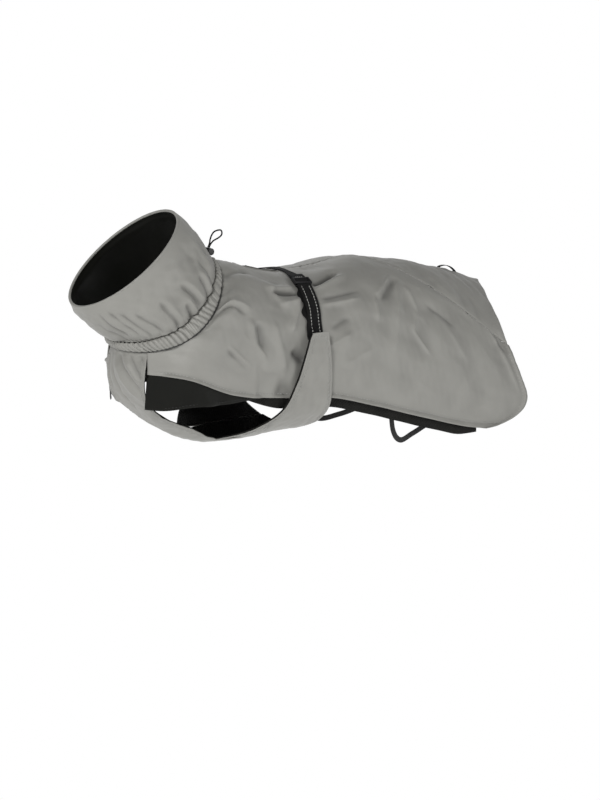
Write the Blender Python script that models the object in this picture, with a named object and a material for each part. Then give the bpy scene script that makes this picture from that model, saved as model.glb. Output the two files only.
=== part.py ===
"""Raincoat for a large dog, in its worn shape: shell, lining, snood collar, chest panel, straps.

Metres. +X points to the tail, -Y to the dog's left, +Z up. The origin is on the spine,
where the girth strap crosses the back and where the dog's back carries the coat.
"""
import math

import bmesh
import bpy
import numpy as np

# Driving dimensions.
SHELL_THICK = 0.0012
FLAP_DEPTH = 0.0028
FLAP_THICK = 0.0009
LINING_DEPTH = 0.0052
LINING_THICK = 0.0010
SNOOD_LINING_DEPTH = 0.0064
PANEL_GAP = 0.0005
SEAM_SHARE = 0.0035
WEBBING_WIDTH = 0.025
WEBBING_THICK = 0.0015
WEBBING_LIFT = 0.0046
BACK_STRAP_LIFT = 0.0009
ELASTIC_WIDTH = 0.009
CORD_DIAMETER = 0.0024
PIPING_RADIUS = 0.0008
TUBE_SIDES = 28
TOUCH = 0.0003

# The shell as curves from spine to hem, one row for each station along the coat:
# station, spine x z, hem x y z, pull of the curve at the spine x y z, pull at the hem x y z.
SHELL_STATIONS = np.array([
    [0.00, -0.136, 0.027, -0.286, 0.054, -0.126, -0.020, 0.122, -0.004, 0.040, 0.072, 0.018],
    [0.12, -0.096, 0.020, -0.246, 0.103, -0.131, -0.020, 0.120, 0.000, 0.026, 0.024, 0.062],
    [0.25, -0.050, 0.006, -0.170, 0.114, -0.162, -0.015, 0.112, 0.000, 0.022, 0.012, 0.085],
    [0.38, 0.000, -0.001, -0.080, 0.117, -0.178, -0.010, 0.108, 0.000, 0.016, 0.006, 0.095],
    [0.50, 0.060, 0.001, 0.010, 0.121, -0.187, -0.005, 0.112, 0.000, 0.012, 0.006, 0.100],
    [0.62, 0.128, 0.007, 0.088, 0.129, -0.208, 0.000, 0.108, 0.000, 0.008, 0.004, 0.110],
    [0.75, 0.215, -0.002, 0.190, 0.137, -0.240, 0.000, 0.104, 0.000, 0.004, 0.002, 0.120],
    [0.88, 0.320, -0.025, 0.300, 0.142, -0.270, -0.020, 0.100, 0.000, -0.002, 0.002, 0.120],
    [1.00, 0.423, -0.057, 0.433, 0.142, -0.284, -0.060, 0.094, -0.006, -0.055, 0.004, 0.110],
])

# Rings of the neck and snood, from the neck seam to the rim:
# station, nape x z, throat x z, half width, dip of the sides.
NECK_STATIONS = np.array([
    [0.00, -0.136, 0.027, -0.293, -0.095, 0.100, 0.024],
    [0.17, -0.142, 0.036, -0.303, -0.081, 0.085, 0.018],
    [0.30, -0.148, 0.048, -0.317, -0.072, 0.088, 0.016],
    [0.50, -0.160, 0.068, -0.341, -0.058, 0.087, 0.012],
    [0.75, -0.180, 0.090, -0.360, -0.041, 0.083, 0.006],
    [1.00, -0.203, 0.108, -0.372, -0.023, 0.078, 0.000],
])
BIB_ANGLE = math.radians(150)
NECK_SHARE = 0.86
CHANNEL_END = 0.17
CORD_STATION = 0.10

# Chest panel from throat to belly: station, middle x z, half width, set-back of the edge x z.
CHEST_STATIONS = np.array([
    [0.00, -0.2920, -0.094, 0.049, 0.012, 0.002],
    [0.08, -0.3000, -0.127, 0.051, 0.013, 0.000],
    [0.18, -0.2890, -0.162, 0.047, 0.006, -0.004],
    [0.34, -0.2510, -0.207, 0.048, 0.004, 0.006],
    [0.50, -0.2010, -0.240, 0.044, 0.000, 0.020],
    [0.64, -0.1550, -0.254, 0.048, 0.000, 0.010],
    [0.80, -0.0800, -0.257, 0.050, 0.000, 0.013],
    [1.00, 0.0080, -0.249, 0.050, 0.000, 0.005],
])

# Belly wing from the chest panel up the side to the strap: station, y, z, front x, rear x.
WING_STATIONS = np.array([
    [0.00, 0.0510, -0.2440, -0.158, 0.008],
    [0.22, 0.0960, -0.2260, -0.120, 0.008],
    [0.42, 0.1225, -0.1965, -0.082, 0.009],
    [0.60, 0.1280, -0.1570, -0.059, 0.008],
    [0.80, 0.1290, -0.1200, -0.044, 0.006],
    [1.00, 0.1260, -0.0820, -0.028, 0.003],
])

# Hind-leg elastic, right side: its route from the lining inside the thigh to the rear corner.
LEG_STRAP_ROUTE = np.array([
    [0.00, 0.130, 0.1210, -0.226],
    [0.14, 0.143, 0.1150, -0.258],
    [0.28, 0.167, 0.1050, -0.279],
    [0.42, 0.202, 0.0940, -0.275],
    [0.62, 0.256, 0.0860, -0.262],
    [0.80, 0.312, 0.0960, -0.252],
    [1.00, 0.372, 0.1260, -0.255],
])

GREY_CLOTH = ("reflective_grey_cloth", (0.27, 0.27, 0.25), 0.55)
BLACK_CLOTH = ("black_lining_cloth", (0.016, 0.016, 0.015), 0.8)
BLACK_WEBBING = ("black_webbing", (0.012, 0.012, 0.012), 0.7)
BLACK_ELASTIC = ("black_elastic", (0.012, 0.012, 0.012), 0.75)
BLACK_PLASTIC = ("black_plastic", (0.014, 0.014, 0.015), 0.35)
DARK_PIPING = ("dark_piping", (0.03, 0.03, 0.03), 0.6)
STEEL = ("spring_steel", (0.6, 0.6, 0.6), 0.3, 1.0)


# ---- surfaces, all for the right half where the coat has two ----
def track(stations, at):
    """Smooth cubic through the rows of a station table, read at the values of `at`."""
    knots, rows = stations[:, 0], stations[:, 1:]
    at = np.asarray(at, dtype=float)
    slopes = np.gradient(rows, knots, axis=0)
    i = np.clip(np.searchsorted(knots, at, side="right") - 1, 0, len(knots) - 2)
    span = (knots[i + 1] - knots[i])[..., None]
    s = (at - knots[i])[..., None] / span
    return (
        (2 * s**3 - 3 * s**2 + 1) * rows[i]
        + (s**3 - 2 * s**2 + s) * span * slopes[i]
        + (3 * s**2 - 2 * s**3) * rows[i + 1]
        + (s**3 - s**2) * span * slopes[i + 1]
    )


def ease(x):
    x = np.clip(x, 0.0, 1.0)
    return x * x * (3 - 2 * x)


def stack(x, y, z):
    return np.stack(np.broadcast_arrays(x, y, z), axis=-1)


def neck_tube(angle, s):
    """Neck and snood: angle 0 at the nape, 180 degrees at the throat, s from seam to rim."""
    nape_x, nape_z, throat_x, throat_z, half_width, dip = np.moveaxis(track(NECK_STATIONS, s), -1, 0)
    across = np.cos(angle)
    aside = np.sin(angle)
    x = (nape_x + throat_x) / 2 + (nape_x - throat_x) / 2 * across
    z = (nape_z + throat_z) / 2 + (nape_z - throat_z) / 2 * across - dip * aside**2
    return stack(x, half_width * aside, z)


def front_edge(v):
    """Front edge of a side panel: along the neck seam, then down the bib seam to the hem."""
    seam = neck_tube(BIB_ANGLE * np.minimum(v / NECK_SHARE, 1), np.zeros_like(v))
    bib_top = neck_tube(BIB_ANGLE, 0.0)
    hem_corner = SHELL_STATIONS[0, 3:6]
    down = np.clip((v - NECK_SHARE) / (1 - NECK_SHARE), 0, 1)[..., None]
    return seam + (hem_corner - bib_top) * down


def section(u, v):
    """Bezier curve from the spine to the hem at station u."""
    row = track(SHELL_STATIONS, u)
    spine = stack(row[..., 0], 0.0, row[..., 1])
    hem = row[..., 2:5]
    v = v[..., None]
    w = 1 - v
    bend = 3 * w**2 * v * (spine + row[..., 5:8]) + 3 * w * v**2 * (hem + row[..., 8:11])
    return w**3 * spine + bend + v**3 * hem


def half_shell(u, v):
    """Outer face of the shell. v runs from 0 at the spine to 1 at the hem, then in metres below it."""
    u, v = np.broadcast_arrays(np.asarray(u, float), np.asarray(v, float))
    inside = np.minimum(v, 1.0)
    fade = (1 - ease(u / 0.14))[..., None]
    point = section(u, inside) + fade * (front_edge(inside) - section(np.zeros_like(u), inside))
    below = np.maximum(v - 1.0, 0.0)[..., None]
    return point + below * np.array([0.0, -0.10, -0.99])


def chest(across, s):
    """Chest panel: across from -1 to 1, s from the throat to the belly."""
    middle_x, middle_z, half_width, back_x, back_z = np.moveaxis(track(CHEST_STATIONS, s), -1, 0)
    bow = np.asarray(across) ** 2
    return stack(middle_x + back_x * bow, half_width * across, middle_z + back_z * bow)


def half_wing(t, across):
    """Belly wing: t from the chest panel up to the strap, across from front edge to rear edge."""
    y, z, front_x, rear_x = np.moveaxis(track(WING_STATIONS, t), -1, 0)
    return stack(front_x + (rear_x - front_x) * across, y, z)


def layer(surface, a, b, depth):
    """Points of a surface moved inward by depth along its normal."""
    a, b = np.broadcast_arrays(np.asarray(a, float), np.asarray(b, float))
    step = 1e-4
    by_a = surface(a + step, b) - surface(a - step, b)
    by_b = surface(a, b + step) - surface(a, b - step)
    normal = np.cross(by_a, by_b)
    normal /= np.linalg.norm(normal, axis=-1, keepdims=True)
    return surface(a, b) - normal * depth


def normal_at(surface, a, b):
    return layer(surface, a, b, -1.0) - layer(surface, a, b, 0.0)


def station_at_x(v, x):
    """The station where the shell's curve of share v passes x."""
    u = np.linspace(0.15, 0.95, 400)
    v, x = np.broadcast_arrays(np.asarray(v, float), np.asarray(x, float))
    found = [np.interp(xi, half_shell(u, vi)[:, 0], u) for vi, xi in zip(v.ravel(), x.ravel())]
    return np.array(found).reshape(v.shape)


# ---- building ----
def material(name, colour, roughness, metallic=0.0):
    mat = bpy.data.materials.get(name)
    if mat is None:
        mat = bpy.data.materials.new(name)
        mat.use_nodes = True
        shader = mat.node_tree.nodes["Principled BSDF"]
        shader.inputs["Base Color"].default_value = (*colour, 1.0)
        shader.inputs["Roughness"].default_value = roughness
        shader.inputs["Metallic"].default_value = metallic
    return mat


def link(obj, look):
    bpy.context.collection.objects.link(obj)
    obj.data.materials.append(material(*look))
    return obj


def add_mesh(name, points, faces, look):
    mesh = bpy.data.meshes.new(name)
    mesh.from_pydata(np.asarray(points).tolist(), [], faces)
    bm = bmesh.new()
    bm.from_mesh(mesh)
    bmesh.ops.recalc_face_normals(bm, faces=bm.faces)
    bm.to_mesh(mesh)
    bm.free()
    mesh.shade_smooth()
    mesh.set_sharp_from_angle(angle=math.radians(40))
    return link(bpy.data.objects.new(name, mesh), look)


def strip(first, second):
    """Quads that join two rows of point numbers."""
    return [(a, b, d, c) for a, b, c, d in zip(first, first[1:], second, second[1:])]


def closed_sheet(name, outer, inner, look, wrap=False):
    """Solid between two grids of points of one shape, closed along every free edge."""
    rows, columns = outer.shape[:2]
    number = np.arange(2 * rows * columns).reshape(2, rows, columns)
    if wrap:
        number = np.concatenate([number, number[:, :, :1]], axis=2)
    front, back = number.tolist()
    faces = []
    for r in range(rows - 1):
        faces += strip(front[r], front[r + 1])
        faces += strip(back[r], back[r + 1])
    for r in (0, rows - 1):
        faces += strip(front[r], back[r])
    if not wrap:
        for c in (0, -1):
            faces += strip([row[c] for row in front], [row[c] for row in back])
    points = np.concatenate([outer.reshape(-1, 3), inner.reshape(-1, 3)])
    return add_mesh(name, points, faces, look)


def grid(rows, columns, low=0.0, high=1.0):
    return np.meshgrid(np.linspace(0, 1, rows), np.linspace(low, high, columns), indexing="ij")


def side_flip(side):
    return np.array([1.0, side, 1.0])


def sheet_on(name, surface, a, b, depth, thick, look, side=1, wrap=False):
    """A panel that follows a surface at a depth below it."""
    outer = layer(surface, a, b, depth) * side_flip(side)
    inner = layer(surface, a, b, depth + thick) * side_flip(side)
    return closed_sheet(name, outer, inner, look, wrap)


def ribbon(name, centre, across, out, width, thick, look):
    """Flat strap swept along a line of points."""
    edge = across[:, None, :] * np.array([-0.5, 0.5])[None, :, None] * width
    face = out[:, None, :] * thick / 2
    return closed_sheet(name, centre[:, None, :] + edge + face, centre[:, None, :] + edge - face, look)


def unit(v):
    v = np.asarray(v, float)
    return v / np.linalg.norm(v, axis=-1, keepdims=True)


class Frame:
    """Local axes at a point, for the small hard pieces: along, across and out."""

    def __init__(self, origin, along, out):
        self.origin = np.asarray(origin, float)
        self.along = unit(along)
        self.across = unit(np.cross(out, self.along))
        self.out = np.cross(self.along, self.across)

    def place(self, points):
        return self.origin + np.asarray(points, float) @ np.array([self.along, self.across, self.out])


def box_points(frame, low, high):
    corners = [(x, y, z) for x in (low[0], high[0]) for y in (low[1], high[1]) for z in (low[2], high[2])]
    return frame.place(corners)


BOX_FACES = [(0, 1, 3, 2), (4, 6, 7, 5), (0, 4, 5, 1), (2, 3, 7, 6), (0, 2, 6, 4), (1, 5, 7, 3)]


def box(name, frame, low, high, look):
    return add_mesh(name, box_points(frame, low, high), BOX_FACES, look)


def barrel(name, frame, radius, low, high, look, sides=20):
    """Solid cylinder along the frame's first axis."""
    turn = np.arange(sides) / sides * 2 * math.pi
    ends = np.concatenate([stack(x, radius * np.cos(turn), radius * np.sin(turn)) for x in (low, high)])
    first, second = list(range(sides)), list(range(sides, 2 * sides))
    faces = strip(first + first[:1], second + second[:1]) + [tuple(first), tuple(second)]
    return add_mesh(name, frame.place(ends), faces, look)


def combine(obj, helper, operation):
    """Boolean with a helper shape that stays hidden."""
    helper.hide_render = True
    helper.display_type = "WIRE"
    modifier = obj.modifiers.new(helper.name, "BOOLEAN")
    modifier.operation = operation
    modifier.object = helper
    return obj


def tube(name, points, diameter, look, closed=False):
    curve = bpy.data.curves.new(name, "CURVE")
    curve.dimensions = "3D"
    curve.bevel_depth = diameter / 2
    curve.bevel_resolution = 2
    curve.render_resolution_u = 0
    curve.use_fill_caps = not closed
    spline = curve.splines.new("POLY")
    spline.points.add(len(points) - 1)
    spline.points.foreach_set("co", np.concatenate([points, np.ones((len(points), 1))], axis=1).ravel())
    spline.use_cyclic_u = closed
    return link(bpy.data.objects.new(name, curve), look)


# ---- shell ----
RUMP_START = 0.685
RUMP_SHARE = 0.56
SHELL_START = 0.028
BIB_START = 0.006


def rump_seam(u):
    """Where the rump panel's seam crosses station u, as a share of the way to the hem."""
    return RUMP_SHARE * np.clip((u - RUMP_START) / (1 - RUMP_START), 0, 1) ** 0.60


def rear_reach(v):
    """How far back a curve of share v runs: less near the hem, which rounds the lower corner."""
    past = np.clip((v - 0.80) / 0.20, 0, 1)
    return 1 - 0.135 * (1 - np.sqrt(1 - 0.96 * past**2))


def front_reach(v):
    """Station where a panel starts: clear of the neck piping, closer in along the bib."""
    return SHELL_START + (BIB_START - SHELL_START) * ease((v - 0.80) / 0.08)


def rump_steps(count):
    """Stations from the apex of the rump seam to the rear edge, closest together at the apex."""
    return RUMP_START + (1 - RUMP_START) * np.linspace(0, 1, count) ** 1.6


def fill(steps, columns, end, upper, lower):
    """Grid of u and v from the front edge to an end station, between an upper and a lower limit of v."""
    a, b = np.meshgrid(steps, np.linspace(0, 1, columns), indexing="ij")
    u = end * a
    for _ in range(6):
        v = upper(u) + (lower(u) - upper(u)) * b
        start = front_reach(v)
        u = start + (end * rear_reach(np.minimum(v, 1.0)) - start) * a
    return u, v


def hem(u):
    return np.ones_like(u)


def side_panel(name, side):
    steps = np.concatenate([np.linspace(0, RUMP_START, 16)[:-1], rump_steps(12)])
    u, v = fill(steps, 11, 1.0, lambda u: rump_seam(u) + SEAM_SHARE, hem)
    sheet_on(name, half_shell, u, v, 0.0, SHELL_THICK, GREY_CLOTH, side)


def rump_panel():
    u, b = np.meshgrid(rump_steps(12)[1:], np.linspace(-1, 1, 13), indexing="ij")
    v = np.abs(b) * (rump_seam(u) - SEAM_SHARE)
    flip = stack(1.0, np.where(b < 0, -1.0, 1.0), 1.0)
    outer = layer(half_shell, u, v, 0.0) * flip
    inner = layer(half_shell, u, v, SHELL_THICK) * flip
    closed_sheet("rump_panel", outer, inner, GREY_CLOTH)


# ---- lining and shoulder flaps ----
def lining_hem(u):
    """The black lining hangs below the shell's hem, most of all behind the shoulder."""
    return 1.004 + 0.013 * ease((u - 0.26) / 0.12) - 0.016 * ease((u - 0.82) / 0.12)


def flap_hem(u):
    return 1.003 + 0.052 * (1 - ease((u - 0.04) / 0.30))


def lining_top(u):
    return 0.010 + 0.02 * ease((u - 0.85) / 0.15)


def lining_half(name, side):
    u, v = fill(np.linspace(0, 1, 23), 11, 0.988, lining_top, lining_hem)
    sheet_on(name, half_shell, u, v, LINING_DEPTH, LINING_THICK, BLACK_CLOTH, side)


def shoulder_flap(name, side):
    u, v = fill(np.linspace(0, 1, 12), 7, 0.352, lambda u: 0.80 + 0 * u, flap_hem)
    sheet_on(name, half_shell, u, v, FLAP_DEPTH, FLAP_THICK, BLACK_CLOTH, side)


# ---- neck and snood ----
def neck_band(name, low, high, rows, depth, thick, look, opening=0.0):
    """Band around the neck; an opening leaves a gap at the nape, in radians each side."""
    share = np.arange(TUBE_SIDES + 1) / TUBE_SIDES
    if not opening:
        share = share[:-1]
    turn = opening + (2 * math.pi - 2 * opening) * share
    s, turn = np.meshgrid(np.linspace(low, high, rows), turn, indexing="ij")
    return sheet_on(name, neck_tube, turn, s, depth, thick, look, wrap=not opening)


def snood():
    neck_band("snood_shell", CHANNEL_END + 0.012, 0.992, 7, 0.0, SHELL_THICK, GREY_CLOTH)
    neck_band("snood_lining", 0.03, 0.992, 8, SNOOD_LINING_DEPTH, LINING_THICK, BLACK_CLOTH)
    neck_band("snood_rim", 0.997, 1.012, 2, 0.0, SNOOD_LINING_DEPTH + LINING_THICK, GREY_CLOTH)
    neck_band("cord_channel", 0.035, CHANNEL_END, 4, -0.0012, 0.0012, GREY_CLOTH, opening=0.085)


def neck_piping():
    turn = np.arange(44) / 44 * 2 * math.pi
    seam = neck_tube(turn, np.full_like(turn, 0.004))
    tube("neck_piping", seam, 2 * PIPING_RADIUS, DARK_PIPING, closed=True)


# ---- chest panel and belly wings ----
def chest_panel():
    s, across = grid(20, 7, -1.0, 1.0)
    s = 0.012 + 0.988 * s
    sheet_on("chest_panel", chest, across, s, 0.0, SHELL_THICK, GREY_CLOTH)
    sheet_on("chest_lining", chest, across * 0.98, s, SHELL_THICK + PANEL_GAP, LINING_THICK, BLACK_CLOTH)


def belly_wing(name, lining_name, side):
    t, across = grid(14, 5)
    sheet_on(name, half_wing, t, across, 0.0, SHELL_THICK, GREY_CLOTH, side)
    t = 0.01 + 0.97 * t
    across = 0.03 + 0.94 * across
    depth = SHELL_THICK + PANEL_GAP
    sheet_on(lining_name, half_wing, t, across, depth, LINING_THICK, BLACK_CLOTH, side)


# ---- girth strap ----
WING_TOP_SHARE = 0.66
SLIDER_SHARE = 0.25
BUCKLE_SHARE = 0.47
MALE_LENGTH = 0.0100
FEMALE_LENGTH = 0.0270


def strap_x(v):
    """The strap leans forward on its way down."""
    return -0.0125 * ease(np.abs(v) / WING_TOP_SHARE)


def girth_ribbon(name, v, lift, side=None):
    """Strap over the shell along v; without a side, a negative v is the left half."""
    v, across = np.meshgrid(v, [-0.5, 0.0, 0.5], indexing="ij")
    u = station_at_x(np.abs(v), strap_x(v) + across * WEBBING_WIDTH)
    flip = stack(1.0, np.where(v < 0, -1.0, 1.0) if side is None else side, 1.0)
    lift = lift(v)
    outer = layer(half_shell, u, np.abs(v), -(lift + WEBBING_THICK)[..., None]) * flip
    inner = layer(half_shell, u, np.abs(v), -lift[..., None]) * flip
    return closed_sheet(name, outer, inner, BLACK_WEBBING)


def strap_frame(v, lift, side):
    """Axes on the strap's line: along it up the side, and out from the body."""
    u = station_at_x(v, strap_x(v))
    ahead = station_at_x(v - 0.01, strap_x(v - 0.01))
    origin = layer(half_shell, u, v, -lift) * side_flip(side)
    along = (half_shell(ahead, v - 0.01) - half_shell(u, v)) * side_flip(side)
    out = normal_at(half_shell, u, v) * side_flip(side)
    return Frame(origin, along, out)


def share_step(v, distance):
    """Change of v that moves a distance along the strap."""
    u = station_at_x(v, strap_x(v))
    speed = np.linalg.norm(half_shell(u, v + 0.005) - half_shell(u, v - 0.005)) / 0.01
    return distance / speed


def girth_webbing():
    top = SLIDER_SHARE - share_step(SLIDER_SHARE, 0.019)
    girth_ribbon(
        "girth_webbing_left",
        np.linspace(top, WING_TOP_SHARE + 0.05, 18),
        lambda v: WEBBING_LIFT - (WEBBING_LIFT - 0.0008) * ease((v - 0.47) / 0.13),
        side=-1,
    )
    foot = BUCKLE_SHARE + share_step(BUCKLE_SHARE, FEMALE_LENGTH + 0.0006)
    girth_ribbon(
        "girth_webbing_right",
        np.linspace(foot, WING_TOP_SHARE + 0.05, 9),
        lambda v: 0.0075 - 0.0067 * ease((v - foot) / (WING_TOP_SHARE - foot)),
        side=1,
    )
    head = BUCKLE_SHARE - share_step(BUCKLE_SHARE, MALE_LENGTH + 0.0024)
    girth_ribbon(
        "back_strap",
        np.linspace(-SLIDER_SHARE - 0.02, head, 22),
        lambda v: BACK_STRAP_LIFT + 0.0042 * ease((v - 0.20) / (head - 0.20)),
    )


def strap_slider():
    """Three-bar slider: the strap runs under the end bars and over the middle one."""
    frame = strap_frame(SLIDER_SHARE, WEBBING_LIFT + WEBBING_THICK / 2, -1)
    slider = box("strap_slider", frame, (-0.007, 0.0131, -0.0025), (0.007, 0.0153, 0.0026), BLACK_PLASTIC)
    bars = {
        "slider_far_rail": ((-0.007, -0.0153, -0.0025), (0.007, -0.0131, 0.0026)),
        "slider_lower_bar": ((-0.0069, -0.0136, 0.0012), (-0.0045, 0.0136, 0.0025)),
        "slider_upper_bar": ((0.0045, -0.0136, 0.0012), (0.0069, 0.0136, 0.0025)),
        "slider_middle_bar": ((-0.0012, -0.0136, -0.0024), (0.0012, 0.0136, -0.0012)),
    }
    for name, (low, high) in bars.items():
        combine(slider, box(name, frame, low, high, BLACK_PLASTIC), "UNION")


def side_buckle():
    """Side-release buckle on the right: the male half is on the back strap, so it pulls out upward."""
    frame = strap_frame(BUCKLE_SHARE, 0.0058, 1)
    outside = ((-FEMALE_LENGTH, -0.0155, -0.0038), (0.0, 0.0155, 0.0038))
    socket = box("buckle_socket", frame, *outside, BLACK_PLASTIC)
    cuts = {
        "socket_cavity": ((-0.0180, -0.0122, -0.0022), (0.0010, 0.0122, 0.0022)),
        "socket_windows": ((-0.0150, -0.0170, -0.0019), (-0.0060, 0.0170, 0.0019)),
        "socket_webbing_slot": ((-0.0240, -0.0130, -0.0050), (-0.0204, 0.0130, 0.0050)),
    }
    for name, (low, high) in cuts.items():
        combine(socket, box(name, frame, low, high, BLACK_PLASTIC), "DIFFERENCE")
    collar = ((0.0003, -0.0150, -0.0034), (MALE_LENGTH, 0.0150, 0.0034))
    plug = box("buckle_plug", frame, *collar, BLACK_PLASTIC)
    slot = ((0.0036, -0.0130, -0.0050), (0.0072, 0.0130, 0.0050))
    combine(plug, box("plug_webbing_slot", frame, *slot, BLACK_PLASTIC), "DIFFERENCE")
    prongs = {
        "prong_front": ((-0.0165, 0.0082, -0.0018), (0.0006, 0.0118, 0.0018)),
        "prong_rear": ((-0.0165, -0.0118, -0.0018), (0.0006, -0.0082, 0.0018)),
        "prong_guide": ((-0.0150, -0.0016, -0.0018), (0.0006, 0.0016, 0.0018)),
    }
    for name, (low, high) in prongs.items():
        combine(plug, box(name, frame, low, high, BLACK_PLASTIC), "UNION")


# ---- drawcord and its lock ----
# Route of the free loop, in metres from the eyelet: across the pair of strands, and up.
LOOP_ROUTE = np.array([
    [0.00, -0.00135, -0.0030],
    [0.08, -0.00135, 0.0060],
    [0.15, -0.00135, 0.0130],
    [0.21, -0.00145, 0.0200],
    [0.28, -0.00320, 0.0270],
    [0.35, -0.00560, 0.0345],
    [0.42, -0.00590, 0.0415],
    [0.50, 0.00000, 0.0470],
    [0.58, 0.00590, 0.0415],
    [0.65, 0.00560, 0.0345],
    [0.72, 0.00320, 0.0270],
    [0.79, 0.00145, 0.0200],
    [0.85, 0.00135, 0.0130],
    [0.92, 0.00135, 0.0060],
    [1.00, 0.00135, -0.0030],
])
LOOP_TWIST = math.radians(50)
CORD_LEAN = 0.85
LOCK_HEIGHT = 0.0092
BUTTON_TRAVEL = 0.0025


def cord_frame(height=0.0):
    """At the nape eyelet: along points to the dog's left, out points up the cord."""
    out = normal_at(neck_tube, 0.0, CORD_STATION) + np.array([0.0, 0.0, CORD_LEAN])
    base = Frame(neck_tube(0.0, CORD_STATION), (0.0, -1.0, 0.0), out)
    return Frame(base.place((0.0, 0.0, height)), base.along, base.out)


def loop_points(count=48):
    aside, up = np.moveaxis(track(LOOP_ROUTE, np.linspace(0, 1, count)), -1, 0)
    twist = LOOP_TWIST * ease((up - 0.020) / 0.020)
    return cord_frame().place(stack(aside * np.cos(twist), aside * np.sin(twist), up))


def drawcord():
    depth = 0.0027
    opening = 0.038
    turn = np.linspace(opening, 2 * math.pi - opening, 64)
    run = layer(neck_tube, turn, np.full_like(turn, CORD_STATION), depth)
    tube("drawcord_in_channel", run, CORD_DIAMETER, BLACK_ELASTIC)
    tube("drawcord_loop", loop_points(), CORD_DIAMETER, BLACK_ELASTIC)


def cord_eyelet():
    upward = normal_at(neck_tube, 0.0, CORD_STATION)
    upright = Frame(neck_tube(0.0, CORD_STATION), upward, (0.0, 1.0, 0.0))
    eyelet = barrel("cord_eyelet", upright, 0.0047, -0.0002, 0.0014, BLACK_PLASTIC, sides=24)
    hole = barrel("eyelet_hole", upright, 0.0034, -0.0010, 0.0030, BLACK_PLASTIC)
    combine(eyelet, hole, "DIFFERENCE")


def cord_lock():
    """Barrel lock: the spring pushes the button out, and its slot pinches the two strands."""
    frame = cord_frame(LOCK_HEIGHT)
    body = barrel("cord_lock_body", frame, 0.0060, -0.0100, 0.0060, BLACK_PLASTIC, sides=24)
    bore = barrel("lock_bore", frame, 0.0043, -0.0086, 0.0070, BLACK_PLASTIC, sides=24)
    combine(body, bore, "DIFFERENCE")
    slot = ((-0.0029, -0.00155, -0.0080), (0.0029, 0.00155, 0.0080))
    combine(body, box("lock_cord_slot", frame, *slot, BLACK_PLASTIC), "DIFFERENCE")
    button = barrel("cord_lock_button", frame, 0.0040, -0.0042, 0.0091, BLACK_PLASTIC, sides=24)
    combine(button, barrel("button_head", frame, 0.0054, 0.0088, 0.0120, BLACK_PLASTIC, sides=24), "UNION")
    slot = ((-0.0029, -0.00155, -0.0080), (0.0029 + BUTTON_TRAVEL, 0.00155, 0.0080))
    combine(button, box("button_cord_slot", frame, *slot, BLACK_PLASTIC), "DIFFERENCE")
    turn = np.linspace(0, 3.5 * 2 * math.pi, 43)
    coil = stack(np.linspace(-0.0080, -0.0048, 43), 0.0032 * np.cos(turn), 0.0032 * np.sin(turn))
    tube("cord_lock_spring", frame.place(coil), 0.0005, STEEL)


# ---- small sewn pieces ----
def leash_slit_welt():
    x = np.linspace(-0.072, -0.017, 9)
    x, v = np.meshgrid(x, [0.040, 0.056], indexing="ij")
    u = station_at_x(v, x)
    sheet_on("leash_slit_welt", half_shell, u, v, -0.0012, 0.0009, GREY_CLOTH, -1)


def tail_loop():
    s = np.linspace(0, 1, 13)
    u = station_at_x(np.zeros_like(s), 0.336 + 0.036 * s)
    lift = 0.0010 + 0.0062 * np.sin(math.pi * s) ** 0.7
    centre = layer(half_shell, u, np.zeros_like(s), -lift[:, None])
    out = unit(np.cross(np.gradient(centre, axis=0), [0.0, 1.0, 0.0]))
    ribbon("tail_loop", centre, np.tile([0.0, 1.0, 0.0], (13, 1)), out, 0.007, 0.0010, BLACK_WEBBING)


def leg_strap(name, side):
    """Elastic around the inside of the hind leg, sewn to the lining at both ends."""
    depth = LINING_DEPTH + LINING_THICK + TOUCH + 0.0030
    route = LEG_STRAP_ROUTE.copy()
    route[0, 1:] = layer(half_shell, station_at_x(0.975, 0.130), 0.975, depth)
    route[-1, 1:] = layer(half_shell, 0.925, 0.955, depth)
    centre = track(route, np.linspace(0, 1, 34))
    tangent = unit(np.gradient(centre, axis=0))
    across = unit(np.cross(tangent, [0.0, 1.0, 0.0]))
    out = np.cross(across, tangent)
    flip = side_flip(side)
    ribbon(name, centre * flip, across * flip, out * flip, ELASTIC_WIDTH, 0.0014, BLACK_ELASTIC)


def main():
    for obj in list(bpy.data.objects):
        bpy.data.objects.remove(obj)
    rump_panel()
    for word, side in (("left", -1), ("right", 1)):
        side_panel(f"side_panel_{word}", side)
        lining_half(f"lining_{word}", side)
        shoulder_flap(f"shoulder_flap_{word}", side)
        belly_wing(f"belly_wing_{word}", f"wing_lining_{word}", side)
        leg_strap(f"leg_strap_{word}", side)
    chest_panel()
    snood()
    neck_piping()
    girth_webbing()
    strap_slider()
    side_buckle()
    drawcord()
    cord_eyelet()
    cord_lock()
    leash_slit_welt()
    tail_loop()


main()
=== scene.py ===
import math

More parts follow.
